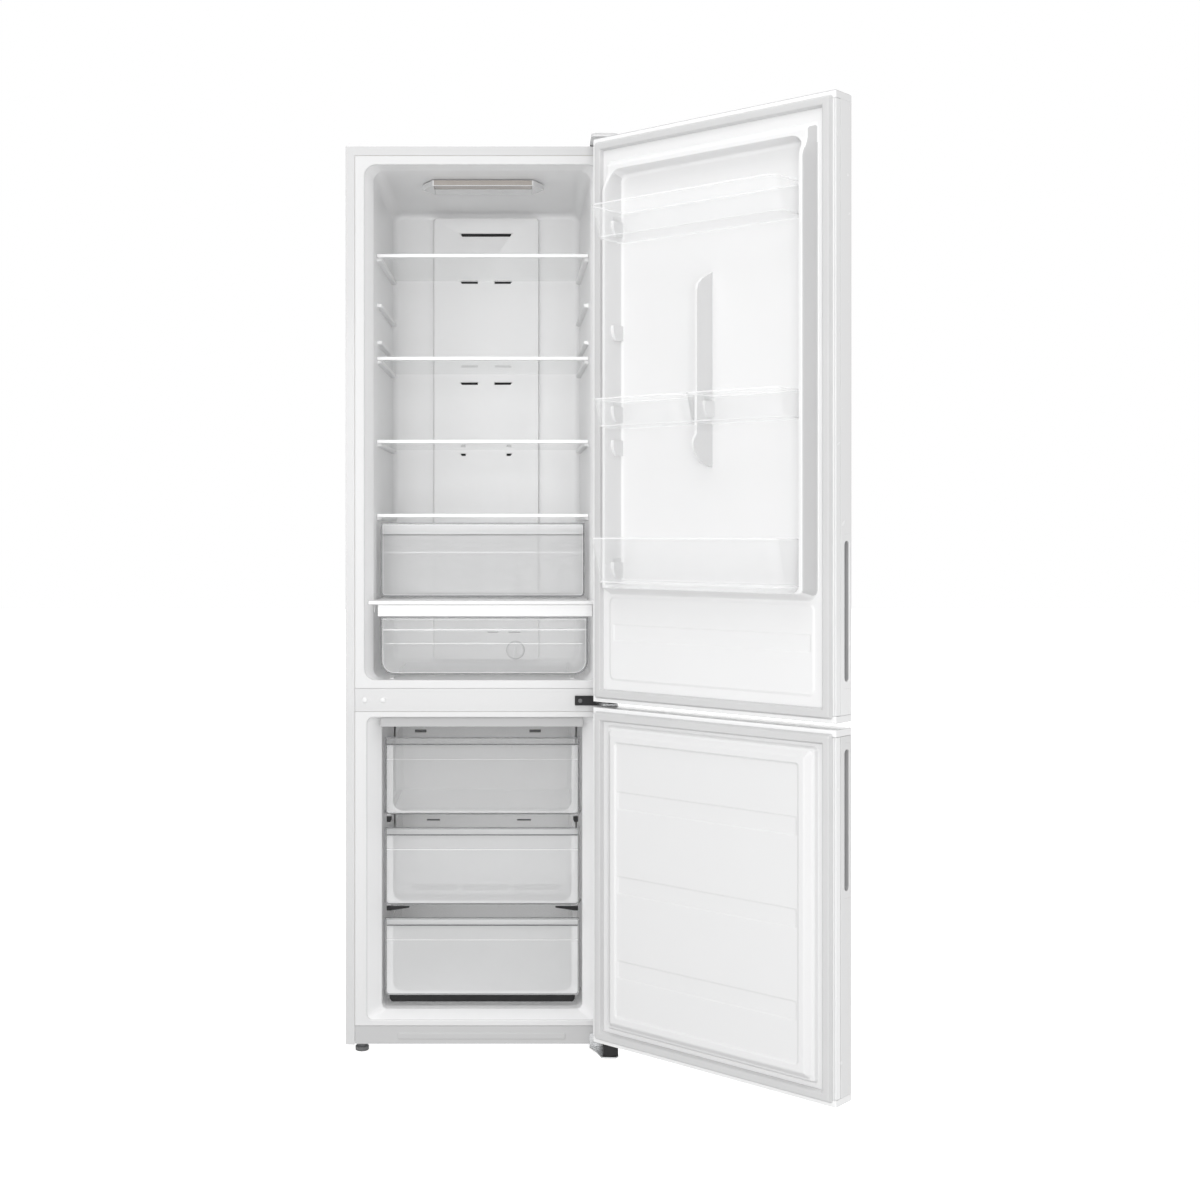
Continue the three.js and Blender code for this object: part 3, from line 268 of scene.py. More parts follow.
def finish_piece(name, me, body, mat, replaces, smooth, bevel, solid, seg=2):
    me.polygons.foreach_set("use_smooth", [True] * len(me.polygons))
    me.set_sharp_from_angle(angle=math.radians(smooth))
    o = bpy.data.objects.new(name, me)
    SCENE.collection.objects.link(o)
    mats = mat if isinstance(mat, (list, tuple)) else [mat]
    for k in mats:
        me.materials.append(MAT[k])
    if solid:
        md = o.modifiers.new("thickness", "SOLIDIFY")
        md.thickness, md.offset, md.use_even_offset = abs(solid) / 1000, -1 if solid > 0 else 1, False
    if bevel:
        md = o.modifiers.new("edges", "BEVEL")
        md.width, md.segments, md.limit_method, md.angle_limit = bevel / 1000, seg, "ANGLE", math.radians(32)
        md.use_clamp_overlap = True
    wn = o.modifiers.new("normals", "WEIGHTED_NORMAL")
    wn.keep_sharp = True
    if all(k in SEE_THROUGH for k in mats):
        o.visible_shadow = False
    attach(o, body)
    if replaces:
        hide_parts(*replaces)
    return o


def rr(x0, x1, y0, y1, r, n=5):
    """Rounded rectangle as points, anticlockwise from the lower right corner; r is one radius or [ll, lr, ur, ul]."""
    ll, lr, ur, ul = r if isinstance(r, (list, tuple)) else (r, r, r, r)
    pts = []
    for cx, cy, q, a0 in ((x1 - lr, y0 + lr, lr, -90), (x1 - ur, y1 - ur, ur, 0), (x0 + ul, y1 - ul, ul, 90), (x0 + ll, y0 + ll, ll, 180)):
        for k in range(n + 1):
            a = math.radians(a0 + 90 * k / n)
            pts.append((cx + q * math.cos(a), cy + q * math.sin(a)))
    return pts


def refine(node, mat=None, bevel=0.6, seg=2, name=None, smooth=38):
    """The CAD node's own shape with its flat triangles joined and its edges rounded."""
    src = NODES[node]
    bm = bmesh.new()
    bm.from_mesh(src.data)
    bmesh.ops.remove_doubles(bm, verts=bm.verts, dist=2e-6)
    bmesh.ops.dissolve_limit(bm, angle_limit=math.radians(0.6), verts=bm.verts, edges=bm.edges)
    bm.verts.ensure_lookup_table()
    bm.verts.index_update()
    me = bpy.data.meshes.new(name or node + "_skin")
    me.from_pydata([tuple(v.co) for v in bm.verts], [], [[v.index for v in f.verts] for f in bm.faces])
    bm.free()
    return finish_piece(name or "v_" + node, me, OWNER[node], mat or SLOT[node], [node], smooth, bevel, None, seg)


def prism(build_rings):
    """A closed cutter from a list of rings, in cabinet or door millimetres already placed in metres."""
    me = bpy.data.meshes.new("cut")
    b_ = Build(lambda p: p).loft(build_rings)
    me.from_pydata(b_.v, [], b_.f)
    bm = bmesh.new()
    bm.from_mesh(me)
    bmesh.ops.recalc_face_normals(bm, faces=bm.faces)
    bm.to_mesh(me)
    bm.free()
    ob = bpy.data.objects.new("cut", me)
    SCENE.collection.objects.link(ob)
    return ob


def carve(o, cutters, smooth=40):
    """Cuts closed solids out of a piece and keeps the result as its mesh."""
    for c in cutters:
        md = o.modifiers.new("cut", "BOOLEAN")
        md.object, md.operation, md.solver = c, "DIFFERENCE", "EXACT"
    bpy.context.view_layer.update()
    done = bpy.data.meshes.new_from_object(o.evaluated_get(bpy.context.evaluated_depsgraph_get()))
    o.modifiers.clear()
    o.data = done
    done.polygons.foreach_set("use_smooth", [True] * len(done.polygons))
    done.set_sharp_from_angle(angle=math.radians(smooth))
    for c in cutters:
        bpy.data.objects.remove(c)
    wn = o.modifiers.new("normals", "WEIGHTED_NORMAL")
    wn.keep_sharp = True


def paint(node, mat=None):
    o = NODES[node]
    o.data.materials.clear()
    o.data.materials.append(MAT[mat or SLOT[node]])


def lines(*spans):
    """Sorted grid lines from (start, end, step) spans."""
    out = set()
    for a, b, st in spans:
        k = max(1, round((b - a) / st))
        for i in range(k + 1):
            out.add(round(a + (b - a) * i / k, 3))
    out = sorted(out)
    keep = [out[0]]
    for x in out[1:]:
        if x - keep[-1] > 0.35:
            keep.append(x)
    return keep


def inside(s, z, s0, s1, z0, z1, r):
    """How far a point lies inside a rounded rectangle, in mm."""
    ll, lr, ur, ul = r if isinstance(r, (list, tuple)) else (r, r, r, r)
    cx, cz = (s0 + s1) / 2, (z0 + z1) / 2
    q = (lr if s > cx else ll) if z < cz else (ur if s > cx else ul)
    dx, dz = abs(s - cx) - (s1 - s0) / 2 + q, abs(z - cz) - (z1 - z0) / 2 + q
    return -(math.hypot(max(dx, 0), max(dz, 0)) + min(max(dx, dz), 0) - q)


def ease(t, k=0.22):
    """0 to 1 with rounded ends; k is the share of the ramp that each rounding takes."""
    if t <= -k:
        return 0.0
    if t >= 1 + k:
        return 1.0

    def soft(x):
        return 0.0 if x <= -k else (x if x >= k else (x + k) ** 2 / (4 * k))
    return soft(t) - soft(t - 1)


def step(x, a, b):
    t = min(1, max(0, (x - a) / (b - a)))
    return t * t * (3 - 2 * t)


def sheet(build, ss, zs, h, thick=1.6):
    """A formed sheet h(s, z) over a grid, with its back face, as one closed solid."""
    m, n = len(ss), len(zs)
    top = [[h(s, z) for s in ss] for z in zs]
    verts = [(ss[i], top[j][i], zs[j]) for j in range(n) for i in range(m)]
    for j in range(n):
        for i in range(m):
            # the back follows at the sheet's thickness, measured across the slope
            gs = (top[j][min(i + 1, m - 1)] - top[j][max(i - 1, 0)]) / (ss[min(i + 1, m - 1)] - ss[max(i - 1, 0)])
            gz = (top[min(j + 1, n - 1)][i] - top[max(j - 1, 0)][i]) / (zs[min(j + 1, n - 1)] - zs[max(j - 1, 0)])
            verts.append((ss[i], top[j][i] - thick * min(2.5, math.sqrt(1 + gs * gs + gz * gz)), zs[j]))
    k, faces = m * n, []
    for j in range(n - 1):
        for i in range(m - 1):
            a = j * m + i
            faces.append((a, a + 1, a + m + 1, a + m))
            faces.append((k + a, k + a + m, k + a + m + 1, k + a + 1))
    edge = [(j * m, (j + 1) * m) for j in range(n - 1)] + [((j + 1) * m + m - 1, j * m + m - 1) for j in range(n - 1)]
    edge += [(i + 1, i) for i in range(m - 1)] + [((n - 1) * m + i, (n - 1) * m + i + 1) for i in range(m - 1)]
    faces += [(a, b, k + b, k + a) for a, b in edge]
    return build.add(verts, faces)


# ------------------------------------------------------------------ doors
UP, LO = (780.2, 1980.0), (53.5, 768.5)


def upper_h(s, z):
    crest = 35 - 17 * step(z, 1856, 1900)
    d = inside(s, z, 40.5, 555.2, 1012, 1926, [14, 24, 10, 10])
    h = crest * ease(d / 12.5, 0.16)
    e = inside(s, z, 62.2, 533, 1027, 1902, [12, 16, 30, 24])
    w = ease((e + 0.6) / 4.2, 0.3)
    h = h * (1 - w) + (-15) * w
    # the recess floor runs up to its walls in a soft curve
    if e > 0:
        h += 9 * max(0, 1 - e / 13) ** 2 * w
    # lower panel: a shallow pad with one band pressed into it
    p = inside(s, z, 46, 549, 829, 1006, 14)
    h += 2.4 * ease(p / 3.5, 0.4) * (1 if z < 1012 else 0)
    g = inside(s, z, 58, 541, 912, 948, 3)
    h -= 1.5 * ease(g / 2.2, 0.4)
    return h


us = lines((2.9, 29, 14), (29, 46, 1.2), (46, 70, 1.1), (70, 95, 2.2), (95, 500, 20), (500, 528, 2.0), (528, 562, 1.1), (562, 592.1, 12))
uz = lines((794.5, 826, 16), (826, 846, 1.2), (846, 906, 12), (906, 918, 1.0), (918, 942, 8), (942, 954, 1.0), (954, 992, 12),
           (992, 1046, 1.2), (1046, 1062, 2.5), (1062, 1820, 24), (1820, 1896, 2.4), (1896, 1930, 1.1), (1930, 1965.7, 12))
b = Build(dor)
sheet(b, us, uz, upper_h)
# rib between the two small bins: a thin upright blade with a foot at its lower end
prof = [(-15, 1668), (20, 1651), (33, 1640), (38, 1626), (38, 1345), (39, 1338), (47, 1329), (50, 1322), (50, 1314), (46, 1306), (26, 1286), (20, 1281), (-15, 1273)]
b.loft([[(s, h0, z0) for h0, z0 in prof] for s in (294, 300)])
# lugs that the bins hang on
for lz in (1752, 1533, 1362, 1291, 1034):
    for s0, s1 in ((61, 71), (524.6, 534)):
        b.loft([[(s, y, z) for y, z in [(-14, lz + 12), (8, lz + 12), (14, lz + 20), (17, lz + 27), (18, lz + 31), (18, lz + 42), (16.6, lz + 44), (-14, lz + 44)]] for s in (s0, s1)])
for s0, s1 in ((288.5, 295), (299, 305.5)):
    b.loft([[(s, y, z) for y, z in [(-14, 1374), (8, 1374), (14, 1382), (17, 1389), (18, 1393), (18, 1404), (16.6, 1406), (-14, 1406)]] for s in (s0, s1)])
liner = b.make("v_upper_door_liner", "upper_door", ["liner_door", "liner_wall_painted_shade", "liner_rib_painted_shade"], "abs_white", ["upper_door_liner"], smooth=50)
edge0 = dor((0, 0, 0))
# walls facing the free edge get darker copies of the liner's white, on the free side, on the rib and on the hinge side:
# painted shade
for f in liner.data.polygons:
    along = (f.center.x - edge0[0]) * -CO + (f.center.y - edge0[1]) * -SO
    if (along > 0.5 or 0.298 < along < 0.302 or along < 0.085) and f.normal.x * -CO + f.normal.y * -SO > 0.72:
        f.material_index = 1 if along > 0.5 else 2


def lower_h(s, z):
    a = inside(s, z, 42, 556, 92, 733, 8)
    h = 8 * ease(a / 4, 0.35)
    c = inside(s, z, 50, 548, 99, 726, 10)
    h += 12 * ease(c / 12, 0.2)
    f = inside(s, z, 74, 524, 124, 702, 7)
    h -= 3.5 * ease(f / 3, 0.4)
    for z1 in (561, 384, 207):
        g = inside(s, z, 80, 518, z1, z1 + 38, 4)
        h -= 1.5 * ease(g / 2.2, 0.4)
    return h


ls = lines((2.9, 38, 16), (38, 50, 1.0), (50, 66, 1.2), (66, 86, 1.2), (86, 510, 28), (510, 528, 1.2), (528, 548, 1.2), (548, 560, 1.0), (560, 592.1, 14))
lz_ = lines((67.8, 88, 10), (88, 114, 1.1), (114, 132, 1.3), (132, 200, 16), (200, 212, 1), (212, 240, 8), (240, 250, 1), (250, 378, 20), (378, 390, 1), (390, 417, 8),
            (417, 427, 1), (427, 555, 20), (555, 567, 1), (567, 594, 8), (594, 604, 1), (604, 692, 18), (692, 740, 1.1), (740, 754.2, 7))
b = Build(dor)
sheet(b, ls, lz_, lower_h)
b.make("v_lower_door_liner", "lower_door", "liner_lower", "abs_white", ["lower_door_liner"], smooth=50)

# gaskets: a bulb with a bellows groove, carried round the door as one ring
for tag, Z in (("upper", UP), ("lower", LO)):
    z0, z1 = Z[0] + 8, Z[1] - 8
    section = [(0.2, 0.4), (0.2, 2.2), (1.6, 3.2), (2.6, 6.4), (3.6, 8.4), (5.6, 9.2), (15.5, 9.2), (17.6, 8.4), (18.6, 6.6), (18.9, 4.4), (19.8, 3.0), (20.6, 2.2), (20.8, 0.4)]
    rings = []
    for d, h in section:
        rings.append([(s, h, z) for s, z in rr(8 + d, 587.6 - d, z0 + d, z1 - d, 3 if d < 8 else 1.2, 3)])
    Build(dor).loft(rings, closed=True).make(f"v_{tag}_door_gasket", f"{tag}_door", "seal", "seal", [f"{tag}_door_gasket"], smooth=50)

# door skins, caps and grips
def arc(cx, cy, r, a0, a1, n=8):
    return [(cx + r * math.cos(math.radians(a0 + (a1 - a0) * k / n)), cy + r * math.sin(math.radians(a0 + (a1 - a0) * k / n))) for k in range(n + 1)]


OUTWARD = (Vector(dor((0, 1, 0))) - Vector(dor((0, 0, 0)))).normalized()


def face_paint(o, index):
    """The door's outer face has the same paint as the case; the sides keep a lighter copy of that white, which is
    painted light.
    """
    for f in o.data.polygons:
        if f.normal.dot(OUTWARD) < -0.25:
            f.material_index = index


for tag, Z in (("upper", UP), ("lower", LO)):
    z0, z1 = Z[0] + 14.3, Z[1] - 14.3
    g0, g1 = {"upper": (858, 1126), "lower": (458.5, 727.8)}[tag]
    outer = [(0, -16.4)] + arc(6, -54, 6, 180, 270) + arc(589, -54, 6, 270, 360) + [(595, -16.4)]
    inner = [(594, -16.4)] + list(reversed(arc(589, -54, 5, 270, 360))) + list(reversed(arc(6, -54, 5, 180, 270))) + [(1, -16.4)]
    sec = outer + inner
    # the skin's sides take a lighter copy of the case's white: painted light; on the lower door that copy is darker:
    # painted shade
    skin = Build(dor).loft([[(s, h, z) for s, h in sec] for z in (z0, z1)]).make(
        f"v_{tag}_door_skin", f"{tag}_door", ["door_white" if tag == "upper" else "door_side_low_painted_shade", "case_white"], "case_white", [f"{tag}_door_skin"], smooth=35)
    face_paint(skin, 1)
    carve(skin, [prism([[dor((s, h, z)) for h, z in rr(-51.7, -28.3, g0 - 13.7, g1 + 13.7, 4.1, 6)] for s in (585, 600)])], 35)
    # the inner liner's edge frame, which the skin's returns are folded over
    b = Build(dor)
    for s0, s1 in ((0.15, 2.6), (592.4, 594.85)):
        b.block(s0, s1, -15.9, -0.1, z0, z1, 0.9)
    b.make(f"{tag}_door_edge_frame", f"{tag}_door", "door_white", "abs_white", smooth=50)
    # end caps: moulded, with a rounded outline and, on the upper door, a crowned top
    for part, a0, a1 in (("top", Z[1] - 14, Z[1]), ("bottom", Z[0], Z[0] + 14)):
        crown = tag == "upper" and part == "top"
        rings = []
        out = lambda d: rr(0.1 + d, 594.9 - d, -60 + d, -d, [max(1, 6 - d), max(1, 6 - d), max(0.8, 2 - d), max(0.8, 2 - d)], 6)
        for z, d in ((a0, 1.2), (a0 + 0.4, 0.3), (a0 + 1.4, 0)):
            rings.append([(s, h, z) for s, h in out(d)])
        for z, d in ((a1 - 1.4, 0), (a1 - 0.4, 0.3), (a1, 1.2)):
            rings.append([(s, h, z) for s, h in out(d)])
        if crown:
            for k in range(1, 7):
                a = math.radians(15 * k)
                rings.append([(s, h, a1 + 3.2 * math.sin(a)) for s, h in out(1.2 + 14 * (1 - math.cos(a)) * 0.9)])
        cap = Build(dor).loft(rings).make(f"v_{tag}_door_{part}_cap", f"{tag}_door", ["door_white", "band_white_painted_shade", "case_white"], "abs_white", [f"{tag}_door_{part}_cap"], smooth=50)
        # outer faces take the case's paint and the rest the doors' lighter copy of it: painted light; faces turned up
        # take a darker copy: painted shade
        for f in cap.data.polygons:
            if f.normal.dot(OUTWARD) < -0.25:
                f.material_index = 2
            if part == "top" and f.normal.z > 0.3:
                f.material_index = 1
        hx, hy = 297.5 - HINGE[0], HINGE[1] + 10
        carve(cap, [prism([[dor((hx + (5.1 if (tag == "upper") == (part == "top") else 4.6) * math.cos(a * math.pi / 16), hy + (5.1 if (tag == "upper") == (part == "top") else 4.6) * math.sin(a * math.pi / 16), z)) for a in range(32)] for z in (a0 - 6, a1 + 9)])], 50)
    # the grip: a plate let into the free edge, with a round-ended trough
    outer = [(h, z) for h, z in rr(-51.6, -28.4, g0 - 13.6, g1 + 13.6, 4, 6)]
    slot_ = lambda d: rr(-48.5 + d, -31.5 - d, g0 + d, g1 - d, 7.5 - d, 6)
    ring = lambda s_, pts: [(s_, h, z) for h, z in pts]
    back = rr(-53, -25, g0 - 20, g1 + 20, 5, 6)
    Build(dor).loft([ring(569.5, back), ring(592.2, back), ring(592.2, slot_(-1.2)), ring(591.6, slot_(0)), ring(574.5, slot_(1.2)), ring(573.2, slot_(3))]).make(
        f"v_{tag}_door_grip", f"{tag}_door", "grip_grey", "grip_grey", [f"{tag}_door_grip"], smooth=40)
    Build(dor).loft([ring(592.3, outer), ring(594.7, outer), ring(594.95, rr(-51.55, -28.45, g0 - 13.55, g1 + 13.55, 3.95, 6)), ring(595.0, slot_(-1.0)),
                     ring(594.4, slot_(-0.3)), ring(592.3, slot_(-0.2))], closed=True).make(
        f"{tag}_door_grip_plate", f"{tag}_door", "door_white" if tag == "upper" else "door_side_low_painted_shade", "abs_white", smooth=40)


# ------------------------------------------------------------------ door bins
def door_bin(name, body, s0, s1, zf, zt, h_top, h_bot, lug, back=-11):
    def ring(z, d, r=22, rb=4, lift=0.0):
        t = min(1, max(0, (zt - z) / (zt - zf)))
        front = h_top - (h_top - h_bot) * t
        rf, rk = max(2.0, r - d), max(1.0, rb - d)
        pts = rr(s0 + d, s1 - d, back + d, front - d, [rk, rk, rf, rf], 6)
        return [(s, h, z + lift) for s, h in pts]
    w = 2.0
    rings = [ring(zf, 5), ring(zf + 0.6, 2.0), ring(zf + 2.2, 0.5), ring(zf + 5, 0)]
    rings += [ring(zt - 7, 0), ring(zt - 5.6, -0.9), ring(zt - 1, -0.9), ring(zt, 0.1), ring(zt, w - 0.4), ring(zt - 0.8, w)]
    rings += [ring(zf + 8, w), ring(zf + 3.6, w + 1.2), ring(zf + w, w + 5)]
    b = Build(dor).loft(rings)
    for a, c in ((s0 - 5.5, s0 + 1), (s1 - 1, s1 + 5.5)):
        b.block(a, c, -6, 16, lug + 44.3, lug + 53, 1.2)
    b.make("v_" + name, body, "clear_bin", "clear_plastic", [name], smooth=50)
    # rim bead and the thick foot line, which catch the light
    t_of = lambda z: min(1, max(0, (zt - z) / (zt - zf)))
    for tag, z, hh, out in (("rim", zt - 2.4, 2.2, 0.5), ("foot", zf + 0.4, 2.4, -0.4)):
        rings = []
        for d, dz in ((-out - 0.2, 0), (-out - 0.2, hh), (w - 0.3, hh), (w - 0.3, 0)):
            rings.append(ring(z, d, lift=dz))
        Build(dor).loft(rings, closed=True).make(f"{name}_{tag}", body, "clear_rim", "clear_plastic", smooth=50)


door_bin("door_bin_top", "bin_top", 72.5, 523.5, 1750, 1816, 106, 82, 1752)
door_bin("door_bin_middle_left", "bin_middle_left", 72.5, 287, 1360, 1417.5, 98, 80, 1362)
door_bin("door_bin_middle_right", "bin_middle_right", 307, 523.5, 1360, 1417.5, 98, 80, 1362)
door_bin("door_bin_bottom", "bin_bottom", 72.5, 523.5, 1038, 1131, 106, 82, 1034)


# ------------------------------------------------------------------ compartments
def xz(y, o, d=0.0, n=7):
    rad_ = o[4] if isinstance(o[4], list) else [o[4]] * 4
    return [(x, y, z) for x, z in rr(o[0] - d, o[1] + d, o[2] - d, o[3] + d, [max(1, q + d) for q in rad_], n)]


def mix(a, c, t):
    out = [p + (q - p) * t for p, q in zip(a[:4], c[:4])]
    ra, rc = (v if isinstance(v, list) else [v] * 4 for v in (a[4], c[4]))
    return (*out, [p + (q - p) * t for p, q in zip(ra, rc)])


FR, FR_IN, FR_BK = (-256, 256, 817.5, 1945.7, 25), (-240, 240, 815, 1941, 25), (-233, 233, 815, 1934, 25)
rings = [xz(2.1, (-277.1, 277.1, 799.9, 1965.1, 1.0)), xz(0.7, (-277.1, 277.1, 799.9, 1965.1, 1.0)), xz(0.2, (-276.6, 276.6, 800.4, 1964.6, 1.0)), xz(0.2, FR, 3.2)]
for k in range(1, 6):
    a = math.radians(90 * k / 5)
    rings.append(xz(0.2 + 3.2 * (1 - math.cos(a)), FR, 3.2 * (1 - math.sin(a)) - 0.4 * k / 5 * 3.2 / 4))
for t in (0.5, 0.88, 0.96):
    rings.append(xz(40 * t, mix(FR, FR_IN, t)))
rings.append(xz(40, FR_IN, -0.15))
rings.append(xz(44, mix(FR_IN, FR_BK, 4 / 460)))
back_y, rad = 499.8, 14
rings.append(xz(back_y - rad, mix(FR_IN, FR_BK, (back_y - rad - 40) / 460)))
for k in range(1, 6):
    a = math.radians(90 * k / 5)
    rings.append(xz(back_y - rad + rad * math.sin(a), mix(FR_IN, FR_BK, 0.985), -rad * (1 - math.cos(a))))
outer = list(reversed([[(x * 1.0, y, z) for x, y, z in r] for r in rings]))


def shell(rings, thick=1.5, behind=1e9):
    """The back of an inward-facing sheet: the same rings pushed outwards, and backwards from the ring at `behind`."""
    out = []
    for i, r in enumerate(rings):
        cx = sum(p[0] for p in r) / len(r)
        cz = sum(p[2] for p in r) / len(r)
        hx = max(abs(p[0] - cx) for p in r)
        hz = max(abs(p[2] - cz) for p in r)
        flat = i < 4
        k = 0 if flat else thick
        dy = thick if not flat and r[0][1] >= behind else 0
        out.append([(cx + (p[0] - cx) * (hx + k) / hx, max(p[1], 2.2) if flat or p[1] < 4 else p[1] + dy, cz + (p[2] - cz) * (hz + k) / hz) for p in r])
    out[-1] = [(x, y + thick, z) for x, y, z in out[-1]]
    out.append(out[-1])
    return out[:-1]


b = Build()
b.loft(rings + list(reversed(shell(rings)))[:-3], cap0=False, cap1=False)
# close the rear wall inside and outside
b.add(rings[-1], [list(range(len(rings[-1])))])
b.add(shell(rings)[-1], [list(range(len(rings[-1])))[::-1]])
for z in (1767.6, 1664, 1580, 1536.4, 1349.2, 1182.6):
    used = z in (1767.6, 1536.4, 1349.2, 1182.6)
    top = z - 6.1
    for sgn in (-1, 1):
        def rail(y, xi, xo, sh=0.0):
            pts = [(xo, top - 9 - sh), (xi + 3, top - 8.2), (xi + 0.8, top - 7.0), (xi, top - 5.4), (xi, top - 1.2), (xi + 0.5, top - 0.3), (xi + 1.3, top), (xo, top)]
            return [(sgn * x, y, q) for x, q in pts]
        y0 = 118 if used else 120
        b.loft([rail(y0, 234.5, 239.6), rail(y0 + 3, 229, 239.6), rail(y0 + 10, 226.9, 239.4), rail(470, 222.2, 234.0)])
for x0, x1 in ((-206, -196), (196, 206)):
    b.loft([[(x, y, z) for x, z in ((x0, 814.4), (x1, 814.4), (x1, zt - 0.8), (x1 - 0.8, zt), (x0 + 0.8, zt), (x0, zt - 0.8))] for y, zt in ((60, 816.4), (96, 821.4), (430, 821.4))])
for sgn in (-1, 1):
    b.loft([[(sgn * x, y, z) for x, z in ((xw, 962.3), (xi + 1, 962.3), (xi, 963.5), (xi, 978.6), (xi + 1, 979.6), (xw, 979.6))] for y, xi, xw in ((50, 238.4, 239.8), (80, 234.2, 239.4), (470, 228.2, 234.0))])
def paint_flange_and_band_shade(o):
    """The face that the gasket meets gets a darker copy of the liner's white, and the freezer's top band a darker one
    still: painted shade.
    """
    for f in o.data.polygons:
        if f.center.y < (3.4 - ORIGIN[1]) / 1000:
            f.material_index = 1
        elif len(o.data.materials) > 2 and f.center.z > 0.7125 and f.center.y < (25 - ORIGIN[1]) / 1000 and abs(f.center.x + ORIGIN[0] / 1000) < 0.2227:
            f.material_index = 2


paint_flange_and_band_shade(b.make("v_fridge_liner", "cabinet", ["liner_white", "liner_flange_painted_shade"], "abs_white", ["fridge_liner"], smooth=42))

FZ, FZ_IN = (-251, 251, 73.9, 736, 14), (-222, 222, 85, 731, 14)
rings = [xz(2.1, (-277.1, 277.1, 61.4, 748.3, 1.0)), xz(0.7, (-277.1, 277.1, 61.4, 748.3, 1.0)), xz(0.2, (-276.6, 276.6, 61.9, 747.8, 1.0)), xz(0.2, FZ, 3.0)]
for k in range(1, 6):
    a = math.radians(90 * k / 5)
    rings.append(xz(0.2 + 3.0 * (1 - math.cos(a)), FZ, 3.0 * (1 - math.sin(a)) - 0.5 * k / 5))
for t in (0.5, 0.86, 0.95):
    rings.append(xz(45 * t, mix(FZ, FZ_IN, t)))
rings += [xz(45, FZ_IN, -0.3), xz(50, FZ_IN), xz(372, FZ_IN)]
hump = (-222, 222, 252, 731, 14)
rings += [xz(372.01, hump), xz(464.9, hump)]
b = Build()
b.loft(rings + list(reversed(shell(rings, behind=372)))[:-3], cap0=False, cap1=False)
b.add(rings[-1], [list(range(len(rings[-1])))])
b.add(shell(rings, behind=372)[-1], [list(range(len(rings[-1])))[::-1]])
for z, y1 in ((512.4, 400), (311.7, 400), (110.4, 366)):
    for sg in (-1, 1):
        b.loft([[(sg * x, y, q) for x, q in ((205, z - 6 + c), (xo, z - 6 + c), (xo, z - c), (xo - 1, z), (206, z), (205, z - 1))]
                for y, xo, c in ((76, 212, 2.4), (80, 213, 0.8), (130, 222.4, 0.2), (y1, 222.4, 0.2))])
b.block(-222.6, 222.6, 18, 24, 713.5, 733.6, 1.2)
paint_flange_and_band_shade(b.make("v_freezer_liner", "cabinet", ["liner_white", "liner_flange_painted_shade", "band_white_painted_shade"], "abs_white", ["freezer_liner"], smooth=42))

# air duct: a panel with a sloped rim, slots with slanted ends, and a dark hollow behind them
b = Build()
o0, o1 = (-129.4, 129.4, 824, 1919.4, 9), (-132, 132, 824, 1922, 9)


def duct(y, t, d=0.0):
    return xz(y, mix(o0, o1, t), d, 5)


b.loft([duct(499.4, 1), duct(496, 0.93), duct(486, 0.36), duct(482.2, 0.13), duct(480.6, 0.02), duct(480, 0, -1.6)])
panel = b.make("v_air_duct", "cabinet", "liner_white", "abs_white", ["air_duct"], smooth=40)
cutters = []


def wedge(x0, x1, z0, z1, lean0, lean1, y0=470, y1=491):
    """A slot with its lower corners drawn in by lean0 and lean1."""
    c = Build()
    c.loft([[(x, y, z) for x, z in ((x0 + lean0, z0), (x1 - lean1, z0), (x1, z1), (x0, z1))] for y in (y0, y1)])
    me = bpy.data.meshes.new("cut")
    me.from_pydata([cab(v) for v in c.v], [], c.f)
    bm = bmesh.new()
    bm.from_mesh(me)
    bmesh.ops.recalc_face_normals(bm, faces=bm.faces)
    bm.to_mesh(me)
    bm.free()
    ob = bpy.data.objects.new("cut", me)
    SCENE.collection.objects.link(ob)
    cutters.append(ob)


wedge(-67, 67, 1873.5, 1883, 8, 8)
for z in (1760, 1509):
    wedge(-66, -20, z - 3.4, z + 3.6, 6, 0)
    wedge(20, 66, z - 3.4, z + 3.6, 0, 6)
wedge(-66, -50, 1329, 1335.6, 6, 0)
wedge(50, 66, 1329, 1335.6, 0, 6)
wedge(2, 31, 889.5, 892.5, 1, 1)
wedge(54, 86, 889.5, 892.5, 1, 1)
carve(panel, cutters, 40)
# a dark sheet at the bottom of each slot: painted shade in the hollow
b = Build()
b.block(-62, 62, 490.2, 490.8, 1874, 1882.6, 0.1)
for z in (1760, 1509):
    b.block(-63, -21, 490.2, 490.8, z - 3, z + 3.2, 0.1)
    b.block(21, 63, 490.2, 490.8, z - 3, z + 3.2, 0.1)
b.block(-63, -51, 490.2, 490.8, 1329.5, 1335, 0.1)
b.block(51, 63, 490.2, 490.8, 1329.5, 1335, 0.1)
b.block(3, 30, 490.2, 490.8, 889.6, 892.4, 0.1)
b.block(55, 85, 490.2, 490.8, 889.6, 892.4, 0.1)
b.make("duct_slot_shadows", "cabinet", "dark_gap", "black_plastic")

